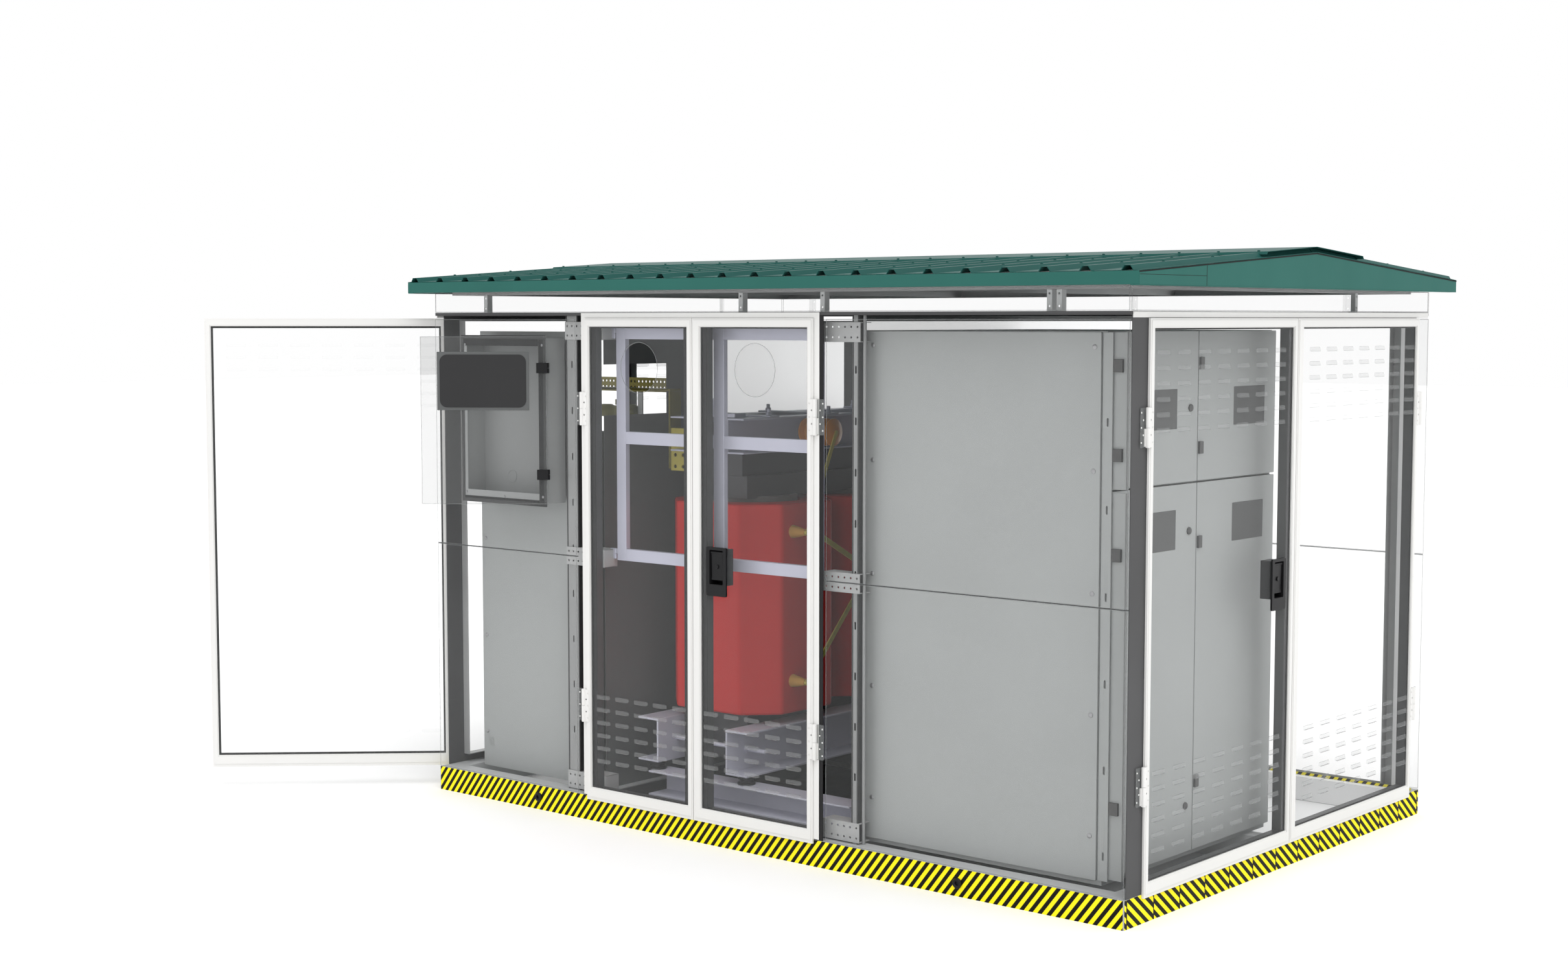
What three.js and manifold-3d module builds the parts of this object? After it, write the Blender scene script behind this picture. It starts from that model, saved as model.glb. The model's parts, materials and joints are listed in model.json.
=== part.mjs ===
// Compact outdoor transformer kiosk on a steel base: a dry-type three-phase transformer in the
// middle bay, a low-voltage board in the left bay and medium-voltage cubicles in the right bay.
// Millimetres, +Z up. The origin is the centre of the footprint, on the underside of the base.
// The long door side faces -Y, the medium-voltage end faces +X.
import * as THREE from 'three';
import { mergeVertices } from 'three/addons/utils/BufferGeometryUtils.js';
import Module from 'manifold-3d';

const wasm = await Module();
wasm.setup();

// ---------------------------------------------------------------- driving dimensions
const HALF_L = 1800;              // half the length of the base, along X
const HALF_W = 1200;              // half the width of the base, along Y
const BASE_H = 106;               // height of the base channels
const FIT = 0.3;                  // gap between bolted neighbours
const SHEET = 3;                  // wall and cover sheet
const RAIL_LOW = 2130;            // underside of the top rail
const RAIL_TOP = 2155;
const EAVE_LOW = 2244;            // lower edge of the fascia
const EAVE_TOP = 2290;
const RIDGE_TOP = 2378;           // peak of the gable plates
const ROOF_X = 1883;              // roof overhang, half sizes
const ROOF_Y = 1283.5;
const RIB_H = 19;                 // height of the roof sheet's ribs
const RIB_COUNT = 23;
const RIB_PITCH = 166.8;
const POST_LOW = BASE_H + FIT;    // posts stand between the base and the top rail
const POST_TOP = RAIL_LOW - FIT;
const POST_DEEP = 40;             // depth of the door frames behind the wall face

const LEAF_LOW = 92;              // outdoor door leaves lap the base and the top rail
const LEAF_TOP = 2131;
const LEAF_THICK = 12;
const LEAF_OFF = 1.5;             // gasket gap between a leaf and its frame
const AXIS_OUT = LEAF_THICK + LEAF_OFF;   // hinge axis in front of the wall face
const AXIS_TO_LEAF = 14;          // hinge axis to the leaf's edge
const LEAF_SIDE = 28;             // leaf frame widths round the clear pane
const LEAF_MEET = 42;             // the second leaf of a pair laps the first with a wider stile
const LEAF_HEAD = 35;
const LEAF_FOOT = 55;
const FRONT_LEAF_W = [613, 627];  // left and right front leaves
const END_LEAF_W = 1084;
const HINGE_Z = [494, 1753];      // middle of each lift-off hinge
const HINGE_HALF = 70;
const BARREL_R = 9;
const PIN_R = 5;
const PIN_PLAY = 0.6;
const FRONT_AXES = [-857, 414];   // hinge axes of the two front leaves
const END_AXIS = 1100;            // hinge axes of the end leaves, at plus and minus this Y
const OPEN_REST = 133;            // the left end's front leaf stands open by this many degrees
const FAN_R = 103;                // round vent opening in the front leaves
const FAN_X = [332, 309];         // its distance from each leaf's hinge axis
const FAN_Z = 1928;

const PAN_GAP = 78;               // latch pan: from the leaf's free edge to its bezel
const PAN_W = 107;
const PAN_Z = [1021, 1218];
const CUP_INSET = [18, 17];       // recess inside the bezel, from its far and near edges
const CUP_Z = [1068, 1206];
const CUP_DEEP = 50;
const LEVER_TOP = 1196;           // axis of the latch lever

const TX = -434;                  // middle of the transformer in X
const COIL_PITCH = 605;
const COIL_Z = [474, 1360];
const COIL_HALF = [306, 293];
const COIL_CUT = 130;             // corner cut of the octagonal coils
const COIL_BORE = 165;
const LIMB_HALF = [112, 105];
const YOKE_END = 800;
const SKID_Z = [243.5, 432];       // skid channels under the transformer
const CUBICLE = { x0: 530, x1: 1630, y0: -1075, y1: 130, top: 2085, split: -473, row: 1523 };
const METER = { x0: -1610, x1: -1095, z0: 1336, z1: 2046, back: -1080 };
const METER_AXIS = [-1060, -HALF_W - 12];
const METER_DOOR_W = 548;
const METER_REST = 38;            // the meter door stands ajar by this many degrees

// ---------------------------------------------------------------- shape helpers
const Y_FORWARD = new THREE.Matrix4().makeBasis(
  new THREE.Vector3(1, 0, 0), new THREE.Vector3(0, 0, 1), new THREE.Vector3(0, -1, 0));
const X_FORWARD = new THREE.Matrix4().makeBasis(
  new THREE.Vector3(0, 1, 0), new THREE.Vector3(0, 0, 1), new THREE.Vector3(1, 0, 0));

function block(x0, x1, y0, y1, z0, z1) {
  const box = new THREE.BoxGeometry(x1 - x0, y1 - y0, z1 - z0);
  return box.translate((x0 + x1) / 2, (y0 + y1) / 2, (z0 + z1) / 2);
}

// A bar of round section between two points on one axis: 'x', 'y' or 'z'.
function rod(axis, radius, from, to, a, b, sides = 16, radiusEnd = radius) {
  const bar = new THREE.CylinderGeometry(radiusEnd, radius, to - from, sides);
  const middle = (from + to) / 2;
  if (axis === 'x') return bar.rotateZ(-Math.PI / 2).translate(middle, a, b);
  if (axis === 'y') return bar.translate(a, middle, b);
  return bar.rotateX(Math.PI / 2).translate(a, b, middle);
}

function extrude(points, depth) {
  const shape = new THREE.Shape(points.map(([a, b]) => new THREE.Vector2(a, b)));
  return new THREE.ExtrudeGeometry(shape, { depth, bevelEnabled: false, steps: 1 });
}

// An outline in (x, z) pushed along Y from y0 to y1.
function alongY(points, y0, y1) {
  return extrude(points, y1 - y0).applyMatrix4(Y_FORWARD).translate(0, y1, 0);
}

// An outline in (y, z) pushed along X from x0 to x1.
function alongX(points, x0, x1) {
  return extrude(points, x1 - x0).applyMatrix4(X_FORWARD).translate(x0, 0, 0);
}

// Corners are rounded to a thousandth so that faces meant to be level really are.
const GRAIN = 1000;

function toSolid(geometry) {
  const bare = geometry.clone();
  bare.deleteAttribute('normal');
  bare.deleteAttribute('uv');
  const merged = mergeVertices(bare, 1e-3);
  return new wasm.Manifold(new wasm.Mesh({
    numProp: 3,
    vertProperties: Float32Array.from(
      merged.attributes.position.array, (value) => Math.round(value * GRAIN) / GRAIN),
    triVerts: Uint32Array.from(merged.index.array),
  }));
}

function toGeometry(solid) {
  const mesh = solid.getMesh();
  const geometry = new THREE.BufferGeometry();
  geometry.setAttribute('position', new THREE.BufferAttribute(Float32Array.from(mesh.vertProperties), 3));
  geometry.setIndex(new THREE.BufferAttribute(Uint32Array.from(mesh.triVerts), 1));
  return geometry;
}

// Joins the first list of shapes and cuts the second list out of them.
function build(shapes, cuts = []) {
  const joined = shapes.map(toSolid).reduce((sum, next) => sum.add(next));
  return toGeometry(cuts.map(toSolid).reduce((left, next) => left.subtract(next), joined));
}

// ---------------------------------------------------------------- materials
function finish(color, roughness, metalness, opacity = 1) {
  return () => new THREE.MeshStandardMaterial({
    color, roughness, metalness, opacity, transparent: opacity < 1,
  });
}

const baseGrey = finish(0x8f9294, 0.6, 0.3);
const postGrey = finish(0x55565a, 0.5, 0.4);
const roofGreen = finish(0x2f6a60, 0.45, 0.2);
const sheetClear = finish(0xf4f6f6, 0.1, 0, 0.2);
const doorWhite = finish(0xe6e5e2, 0.45, 0.1);
const latchBlack = finish(0x1a1a1b, 0.4, 0);
const gateSteel = finish(0xb4b5c2, 0.4, 0.4);
const cubicleGrey = finish(0xa8acab, 0.5, 0.2);
const wallDark = finish(0x606262, 0.6, 0.2);
const shieldSteel = finish(0xd0d0d0, 0.2, 0.9);
const resinRed = finish(0xb02f2f, 0.5, 0);
const coreDark = finish(0x3c3d3f, 0.5, 0.5);
const busYellow = finish(0xc9b93a, 0.4, 0.3);

const root = new THREE.Group();

function add(parent, name, geometry, material) {
  const mesh = new THREE.Mesh(geometry, material());
  mesh.name = name;
  parent.add(mesh);
}

// ---------------------------------------------------------------- base
// Perimeter and cross beams with six cells; the middle bay is closed by a floor pan, and two
// bearers carry the transformer. Four lifting bosses stand on the long sides.
function baseFrame() {
  const rim = 90;
  const cells = [
    [-HALF_L + rim, -920, 1], [-840, 415, 0], [495, HALF_L - rim, 1],
  ];
  const cuts = [];
  for (const [x0, x1, open] of cells) {
    const top = open ? BASE_H + 1 : BASE_H - 8;
    cuts.push(block(x0, x1, -HALF_W + rim, -35, -1, top));
    cuts.push(block(x0, x1, 35, HALF_W - rim, -1, top));
  }
  const shapes = [block(-HALF_L, HALF_L, -HALF_W, HALF_W, 0, BASE_H)];
  for (const side of [-1, 1]) {
    const [near, far] = [side * 910, side * 1030].sort((a, b) => a - b);
    shapes.push(block(-655, 440, near, far, BASE_H - 1, SKID_Z[0] - FIT));
    for (const x of [-1152, 1088]) {
      const [low, high] = [side * (HALF_W - 5), side * (HALF_W + 9)].sort((a, b) => a - b);
      shapes.push(rod('y', 22, low, high, x, 52, 12));
    }
  }
  return build(shapes, cuts);
}

// ---------------------------------------------------------------- wall frames
// The fixed half of a lift-off hinge: a lower barrel with its pin, on a bracket behind it.
// `side` is +1 when the leaf lies towards +x of the axis; the frame face lies at y = AXIS_OUT.
function hingeSeats(side) {
  const shapes = [];
  for (const z of HINGE_Z) {
    const low = z - HINGE_HALF;
    shapes.push(rod('z', BARREL_R, low, z - 1, 0, 0, 12));
    shapes.push(rod('z', PIN_R, z - 12, z + HINGE_HALF - 8, 0, 0, 12));
    const [x0, x1] = [-side * 3, -side * 30].sort((a, b) => a - b);
    shapes.push(block(x0, x1, -3, 3, low, z - 1));
    const [x2, x3] = [-side * 24, -side * 30].sort((a, b) => a - b);
    shapes.push(block(x2, x3, -3, AXIS_OUT + 2, low, z - 1));
  }
  return shapes;
}

function placed(shapes, turn, x, y) {
  return shapes.map((shape) => shape.clone().rotateZ(turn).translate(x, y, 0));
}

// Welded front frame: door portal with a middle post, and on each side a slotted upright
// tied to it by three short channels.
function frontFrame() {
  const face = -HALF_W;
  const shapes = [block(-905, 455, face, face + POST_DEEP, POST_LOW, POST_TOP)];
  const cuts = [
    block(-790, -285, face - 1, face + POST_DEEP + 1, 146, 2090),
    block(-161, 372, face - 1, face + POST_DEEP + 1, 146, 2090),
  ];
  shapes.push(block(-1012, -941, -1194, -1120, POST_LOW, POST_TOP));
  shapes.push(block(548, 586, -1194, -1120, POST_LOW, POST_TOP));
  for (const z of [150, 1118, 2078]) {
    shapes.push(block(-1000, -785, -1165, -1078, z - 38, z + 38));
    cuts.push(block(-941, -790, -1155, -1077, z - 32, z + 32));
    shapes.push(block(440, 560, -1165, -1090, z - 38, z + 38));
    cuts.push(block(455, 548, -1155, -1089, z - 32, z + 32));
  }
  shapes.push(...placed(hingeSeats(1), 0, FRONT_AXES[0], face - AXIS_OUT));
  shapes.push(...placed(hingeSeats(-1), 0, FRONT_AXES[1], face - AXIS_OUT));
  for (const z of [1138, 2069]) {
    shapes.push(rod('z', 6, z - 22, z - 1, -772, -1100, 10));
    shapes.push(rod('z', 3, z - 5, z + 18, -772, -1100, 10));
    shapes.push(block(-791, -774, -1103, -1097, z - 22, z - 1));
  }
  return build(shapes, cuts);
}

// End portal for two leaves, facing +X when `side` is 1 and -X when it is -1.
function endFrame(side) {
  const jamb = 1040;
  const inner = side * (HALF_L - POST_DEEP);
  const [x0, x1] = [side * HALF_L, inner].sort((a, b) => a - b);
  const nearEdge = side > 0 ? -1187 : -1150;
  const headLow = side > 0 ? 2090 : 2118;
  const shapes = [block(x0, x1, nearEdge, 1187, POST_LOW, POST_TOP)];
  const cuts = [
    block(x0 - 1, x1 + 1, -jamb, -50, 146, headLow),
    block(x0 - 1, x1 + 1, 50, jamb, 146, headLow),
  ];
  const turn = side * Math.PI / 2;
  const axisX = side * (HALF_L + AXIS_OUT);
  shapes.push(...placed(hingeSeats(side), turn, axisX, -END_AXIS));
  shapes.push(...placed(hingeSeats(-side), turn, axisX, END_AXIS));
  return build(shapes, cuts);
}

// Four posts on one low sill; the top rail ties them at their heads.
function rearFrame() {
  const shapes = [block(-1700, 1700, 1150, 1194, POST_LOW, POST_TOP)];
  const cuts = [[-1648, -910], [-850, 425], [485, 1648]].map(
    ([x0, x1]) => block(x0, x1, 1149, 1197, 118, POST_TOP + 1));
  return build(shapes, cuts);
}

function topRail() {
  const shapes = [block(-HALF_L + 1, HALF_L - 1, -HALF_W + 1, HALF_W - 1, RAIL_LOW, RAIL_TOP)];
  return build(shapes, [block(-1690, 1690, -1100, 1100, RAIL_LOW - 1, RAIL_TOP + 1)]);
}

// ---------------------------------------------------------------- roof
const slopeZ = (y) => RIDGE_TOP - (RIDGE_TOP - EAVE_TOP) * Math.abs(y) / ROOF_Y;

// Ring on short stand-off legs, four rafter plates and a ridge beam, welded together.
function roofFrame() {
  const [rx, ry, low] = [1740, 1150, 2232];
  const shapes = [];
  for (const side of [-1, 1]) {
    const [y0, y1] = [side * ry, side * (ry - 50)].sort((a, b) => a - b);
    shapes.push(block(-rx, rx, y0, y1, low, low + 40));
    const [x0, x1] = [side * rx, side * (rx - 50)].sort((a, b) => a - b);
    shapes.push(block(x0, x1, -ry, ry, low, low + 40));
    for (const x of [-1530, -50, 400, 1460]) {
      shapes.push(block(x - 20, x + 20, y0 + 5, y1 - 5, RAIL_TOP + FIT, low + 2));
    }
    shapes.push(block(x0 + 5, x1 - 5, 622, 662, RAIL_TOP + FIT, low + 2));
  }
  for (const x of [-1715, -600, 600, 1715]) {
    const outline = [
      [-ry, low], [ry, low], [ry, slopeZ(ry) - 1.5], [0, slopeZ(0) - 1.5], [-ry, slopeZ(ry) - 1.5],
    ];
    shapes.push(alongX(outline, x - 4, x + 4));
  }
  shapes.push(block(-rx, rx, -25, 25, 2340, slopeZ(25) - 1.5));
  return build(shapes);
}

// Trapezoidal sheet: valleys and ribs in (x, height), pushed up the slope from eave to ridge.
function roofSheet(side) {
  const skin = 2;
  const foot = 24;
  const crown = 12;
  const upper = [[-ROOF_X, skin]];
  const lower = [[-ROOF_X, 0]];
  for (let i = 0; i < RIB_COUNT; i += 1) {
    const x = (i - (RIB_COUNT - 1) / 2) * RIB_PITCH;
    upper.push([x - foot - 1, skin], [x - crown - 1, RIB_H], [x + crown + 1, RIB_H], [x + foot + 1, skin]);
    lower.push([x - foot + 1, 0], [x - crown + 1, RIB_H - skin], [x + crown - 1, RIB_H - skin],
      [x + foot - 1, 0]);
  }
  upper.push([ROOF_X, skin]);
  lower.push([ROOF_X, 0]);
  const tilt = Math.atan2(RIDGE_TOP - EAVE_TOP, ROOF_Y);
  const run = (ROOF_Y - 2) / Math.cos(tilt);
  const sheet = alongY([...lower, ...upper.reverse()], 0, run);
  sheet.rotateX(tilt).translate(0, -ROOF_Y, EAVE_TOP + 0.6);
  return side < 0 ? sheet : sheet.rotateZ(Math.PI);
}

function ridgeCap() {
  const reach = 390;
  const lift = RIB_H + 2.2;
  const top = RIDGE_TOP + lift + 2;
  const drop = (RIDGE_TOP - EAVE_TOP) * reach / ROOF_Y;
  return alongX([
    [0, top - 2], [reach, top - 2 - drop], [reach, top - drop], [0, top], [-reach, top - drop],
    [-reach, top - 2 - drop],
  ], -ROOF_X, ROOF_X);
}

function fascia(side) {
  const lip = 44;
  const outline = [
    [-ROOF_Y, EAVE_LOW], [-ROOF_Y + lip, EAVE_LOW], [-ROOF_Y + lip, EAVE_LOW + SHEET],
    [-ROOF_Y + SHEET, EAVE_LOW + SHEET], [-ROOF_Y + SHEET, EAVE_TOP], [-ROOF_Y, EAVE_TOP],
  ];
  const strip = alongX(outline, -ROOF_X + SHEET + FIT, ROOF_X - SHEET - FIT);
  return side < 0 ? strip : strip.rotateZ(Math.PI);
}

function gable(side) {
  const outline = [
    [-ROOF_Y, EAVE_LOW], [ROOF_Y, EAVE_LOW], [ROOF_Y, EAVE_TOP], [0, RIDGE_TOP], [-ROOF_Y, EAVE_TOP],
  ];
  const plate = alongX(outline, ROOF_X - SHEET, ROOF_X);
  return side > 0 ? plate : plate.rotateZ(Math.PI);
}

// ---------------------------------------------------------------- wall panels
function wallPanels() {
  const split = 1124;
  const low = BASE_H + 2;
  const high = RAIL_LOW - 2;
  const front = [-HALF_W, -HALF_W + SHEET];
  const rear = [HALF_W - SHEET, HALF_W];
  const panel = (x0, x1, [y0, y1], z0, z1) => block(x0, x1, y0, y1, z0, z1);
  const meterCut = panel(METER.x0 - 2, METER.x1 + 2, [front[0] - 1, front[1] + 1], METER.z0 - 2, METER.z1 + 2);
  const leftUpper = panel(-HALF_L + 1, -907, front, split + 1, high);
  add(root, 'front_left_upper_panel', build([leftUpper], [meterCut]), sheetClear);
  add(root, 'front_left_lower_panel', panel(-HALF_L + 1, -907, front, low, split - 1), sheetClear);
  add(root, 'front_right_upper_panel', panel(457, HALF_L - 1, front, split + 1, high), sheetClear);
  add(root, 'front_right_lower_panel', panel(457, HALF_L - 1, front, low, split - 1), sheetClear);
  add(root, 'rear_upper_panel', panel(-HALF_L + 1, HALF_L - 1, rear, split + 1, high), sheetClear);
  add(root, 'rear_lower_panel', panel(-HALF_L + 1, HALF_L - 1, rear, low, split - 1), sheetClear);
}

// ---------------------------------------------------------------- outdoor door leaves
// A leaf in its own frame: hinge axis at the origin, outside towards -y, leaf towards side * x.
const span = (side, from, to) => [side * from, side * to].sort((a, b) => a - b);

function leafFrame(side, width, meet) {
  const [x0, x1] = span(side, AXIS_TO_LEAF, AXIS_TO_LEAF + width);
  const shapes = [block(x0, x1, 0, LEAF_THICK, LEAF_LOW, LEAF_TOP)];
  const [h0, h1] = span(side, AXIS_TO_LEAF + LEAF_SIDE, AXIS_TO_LEAF + width - meet);
  const cuts = [block(h0, h1, -1, LEAF_THICK + 1, LEAF_LOW + LEAF_FOOT, LEAF_TOP - LEAF_HEAD)];
  for (const z of HINGE_Z) {
    const [p0, p1] = span(side, 0, AXIS_TO_LEAF + 26);
    shapes.push(rod('z', BARREL_R, z, z + HINGE_HALF, 0, 0, 12));
    shapes.push(block(p0, p1, -3, 1, z, z + HINGE_HALF));
    cuts.push(rod('z', PIN_R + PIN_PLAY, z - 1, z + HINGE_HALF + 1, 0, 0, 12));
  }
  return build(shapes, cuts);
}

// Latch pan: bezel in front of the pane, recess through it.
function panSpans(side, width) {
  const edge = AXIS_TO_LEAF + width - PAN_GAP;
  return {
    bezel: span(side, edge - PAN_W, edge),
    cup: span(side, edge - PAN_W + CUP_INSET[1], edge - CUP_INSET[0]),
  };
}

function leafPane(side, width, meet, { pan, fan }) {
  const [x0, x1] = span(side, AXIS_TO_LEAF + LEAF_SIDE + 0.5, AXIS_TO_LEAF + width - meet - 0.5);
  const shape = block(x0, x1, 4, 8, LEAF_LOW + LEAF_FOOT + 0.5, LEAF_TOP - LEAF_HEAD - 0.5);
  const cuts = [];
  if (pan) {
    const [c0, c1] = panSpans(side, width).cup;
    cuts.push(block(c0 - 5, c1 + 5, 3, 9, CUP_Z[0] - 5, CUP_Z[1] + 5));
  }
  if (fan) cuts.push(rod('y', FAN_R, 3, 9, side * fan, FAN_Z, 24));
  return build([shape], cuts);
}

function latchPan(side, width) {
  const wall = 4;
  const { bezel, cup } = panSpans(side, width);
  const shapes = [
    block(bezel[0], bezel[1], -4, 3.4, PAN_Z[0], PAN_Z[1]),
    block(cup[0] - wall, cup[1] + wall, 0, CUP_DEEP + wall, CUP_Z[0] - wall, CUP_Z[1] + wall),
  ];
  return build(shapes, [block(cup[0], cup[1], -5, CUP_DEEP, CUP_Z[0], CUP_Z[1])]);
}

// Lever of the paddle latch, hung on a cross pin near the top of the recess.
function latchLever(side, width) {
  const [c0, c1] = panSpans(side, width).cup;
  const shapes = [
    block(c0 + 6, c1 - 6, 2, 10, LEVER_TOP - 112, LEVER_TOP),
    rod('x', 6, c0 + 3, c1 - 3, 6, LEVER_TOP, 12),
  ];
  return build(shapes);
}

function addLeaf(name, side, width, x, y, turn, options = {}) {
  const meet = options.laps ? LEAF_MEET : LEAF_SIDE;
  const hinged = new THREE.Group();
  hinged.position.set(x, y, 0);
  hinged.rotation.z = turn;
  root.add(hinged);
  add(hinged, `${name}_leaf_frame`, leafFrame(side, width, meet), doorWhite);
  add(hinged, `${name}_leaf_pane`, leafPane(side, width, meet, options), sheetClear);
  if (!options.pan) return;
  add(hinged, `${name}_latch_pan`, latchPan(side, width), latchBlack);
  add(hinged, `${name}_latch_lever`, latchLever(side, width), latchBlack);
}

function addLeaves() {
  const front = -HALF_W - AXIS_OUT;
  const end = HALF_L + AXIS_OUT;
  const quarter = Math.PI / 2;
  const open = THREE.MathUtils.degToRad(OPEN_REST);
  const [leftW, rightW] = FRONT_LEAF_W;
  addLeaf('front_left', 1, leftW, FRONT_AXES[0], front, 0, { fan: FAN_X[0] });
  addLeaf('front_right', -1, rightW, FRONT_AXES[1], front, 0, { fan: FAN_X[1], pan: true, laps: true });
  addLeaf('right_near', 1, END_LEAF_W, end, -END_AXIS, quarter, { pan: true });
  addLeaf('right_far', -1, END_LEAF_W, end, END_AXIS, quarter, { laps: true });
  addLeaf('left_near', -1, END_LEAF_W, -end, -END_AXIS, open - quarter);
  addLeaf('left_far', 1, END_LEAF_W, -end, END_AXIS, -quarter, { pan: true, laps: true });
}

// ---------------------------------------------------------------- safety gate
function safetyGate() {
  const [thick0, thick1] = [-12, 13];
  const rails = [[1112, 1162], [1605, 1657], [2044, 2093]];
  const stiles = [[20, 73], [570, 626], [1082, 1132]];
  const shapes = [
    ...rails.map(([z0, z1]) => block(20, 1132, thick0, thick1, z0, z1)),
    ...stiles.map(([x0, x1]) => block(x0, x1, thick0, thick1, 1112, 2093)),
  ];
  const cuts = [];
  for (const z of [1138, 2069]) {
    shapes.push(rod('z', 6, z, z + 22, 0, 0, 10), block(2, 25, -3, 3, z, z + 22));
    cuts.push(rod('z', 3.6, z - 1, z + 23, 0, 0, 10));
  }
  return build(shapes, cuts);
}

// ---------------------------------------------------------------- meter box
function meterBox() {
  const wall = 3;
  const rim = 22;
  const front = -HALF_W - 2;
  const { x0, x1, z0, z1, back } = METER;
  const cuts = [
    block(x0 + wall, x1 - wall, front + wall, back - wall, z0 + wall, z1 - wall),
    block(x0 + rim, x1 - rim, front - 1, front + wall + 1, z0 + rim + 20, z1 - rim),
  ];
  const shapes = [block(x0, x1, front, back, z0, z1)];
  for (const z of [1465, 1920]) {
    shapes.push(rod('z', 5, z - 22, z - 1, METER_AXIS[0], METER_AXIS[1], 10));
    shapes.push(rod('z', 2.5, z - 5, z + 18, METER_AXIS[0], METER_AXIS[1], 10));
    shapes.push(block(x1 - 8, METER_AXIS[0] - 2, front - 4, front - 1, z - 22, z - 1));
    shapes.push(block(x1 - 8, x1 - 3, front - 4, front + 1, z - 22, z - 1));
    shapes.push(block(METER_AXIS[0] - 5, METER_AXIS[0] + 1, METER_AXIS[1], front - 1, z - 22, z - 1));
  }
  return build(shapes, cuts);
}

function meterDoor() {
  const shapes = [block(-METER_DOOR_W, -7, -2, 3, METER.z0 + 2, METER.z1 + 8)];
  const cuts = [];
  for (const z of [1465, 1920]) {
    shapes.push(rod('z', 5, z, z + 22, 0, 0, 10), block(-30, -2, -3.5, -1, z, z + 22));
    cuts.push(rod('z', 3.1, z - 1, z + 23, 0, 0, 10));
  }
  return build(shapes, cuts);
}

// ---------------------------------------------------------------- low-voltage bay
function lvPartition() {
  const wall = block(-880, -877, -1060, 1148, BASE_H + FIT, 2120);
  return build([wall], [block(-881, -876, -1061, -672, 1717, 1935)]);
}

// Open-fronted board: two side plates, a back plate and the rails that carry the bars.
function lvBoard() {
  const low = BASE_H + FIT;
  return build([
    block(-1670, -935, -1053, -1050, low, 2074),
    block(-1670, -935, 600, 603, low, 1650),
    block(-1003, -1000, -1051, 601, low + 5, 1640),
    block(-1640, -1600, -1051, 601, 1560, 1600),
    block(-1640, -1600, -1051, 601, 200, 240),
    block(-1620, -1001, -304, -291, 1568, 1592),
    block(-1415, -1385, -302, -293, 1580, 1840),
    block(-1660, -890, -300, -295, 1790, 1856),
  ]);
}

// Neutral bar of the transformer, with a branch through the partition's opening.
function neutralBar() {
  const drops = [-1, 0, 1].map((i) => {
    const y = i * COIL_PITCH;
    return block(-690, -680, y - 25, y + 25, COIL_Z[1] + FIT, 1500);
  });
  return build([
    ...drops,
    block(-690, -680, -860, 660, 1490, 1560),
    block(-690, -680, -860, -790, 1490, 1830),
    block(-1240, -680, -860, -790, 1820, 1830),
    block(-1240, -1230, -860, -790, 1690, 1830),
  ]);
}

// ---------------------------------------------------------------- transformer
function core() {
  const [half, wide, step] = [LIMB_HALF[0], LIMB_HALF[0] + 27, 1470];
  const upper = [
    [TX - wide, 1374], [TX + wide, 1374], [TX + wide, step], [TX + half, step], [TX + half, 1690],
    [TX - half, 1690], [TX - half, step], [TX - wide, step],
  ];
  const lower = [
    [TX - wide, 460], [TX - wide, 380], [TX - half, 380], [TX - half, 262], [TX + half, 262],
    [TX + half, 380], [TX + wide, 380], [TX + wide, 460],
  ];
  const limbs = [-1, 0, 1].map((i) => {
    const y = i * COIL_PITCH;
    return block(TX - half, TX + half, y - LIMB_HALF[1], y + LIMB_HALF[1], 450, 1380);
  });
  return build([alongY(upper, -YOKE_END, YOKE_END), alongY(lower, -YOKE_END, YOKE_END), ...limbs]);
}

// Cast-resin coil: an octagonal column with a round bore for the limb.
function coil() {
  const [hx, hy] = COIL_HALF;
  const c = COIL_CUT;
  const shape = new THREE.Shape([
    [-hx, -hy + c], [-hx + c, -hy], [hx - c, -hy], [hx, -hy + c],
    [hx, hy - c], [hx - c, hy], [-hx + c, hy], [-hx, hy - c],
  ].map(([x, y]) => new THREE.Vector2(x, y)));
  const bore = new THREE.Path();
  bore.absarc(0, 0, COIL_BORE, 0, Math.PI * 2, true);
  shape.holes.push(bore);
  const column = new THREE.ExtrudeGeometry(shape, {
    depth: COIL_Z[1] - COIL_Z[0], bevelEnabled: false, curveSegments: 16,
  });
  return column.translate(0, 0, COIL_Z[0]);
}

// C-channel along Y whose web stands at `web` and whose flanges point to side * x.
function channel(side, web, reach, z0, z1, y0, y1, skin) {
  const outline = [
    [web, z0], [web + side * reach, z0], [web + side * reach, z0 + skin], [web + side * skin, z0 + skin],
    [web + side * skin, z1 - skin], [web + side * reach, z1 - skin], [web + side * reach, z1], [web, z1],
  ];
  return alongY(side > 0 ? outline : outline.reverse(), y0, y1);
}

function topClamp() {
  const web = LIMB_HALF[0] + 1;
  const straps = [-700, -302, 302, 700].map(
    (y) => block(TX - web - 94, TX + web + 94, y - 30, y + 30, 1716, 1724));
  return build([
    channel(-1, TX - web, 94, 1569, 1717, -900, 900, 8),
    channel(1, TX + web, 94, 1569, 1717, -900, 900, 8),
    ...straps,
  ]);
}

function skidBase() {
  const web = 192;
  const [low, high] = SKID_Z;
  return build([
    channel(-1, TX - web, 117, low, high, -1000, 1000, 9),
    channel(1, TX + web, 117, low, high, -1000, 1000, 9),
    rod('x', 9, TX - 310, TX + 310, -880, 335, 10),
    rod('x', 9, TX - 310, TX + 310, 880, 335, 10),
  ]);
}

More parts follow.
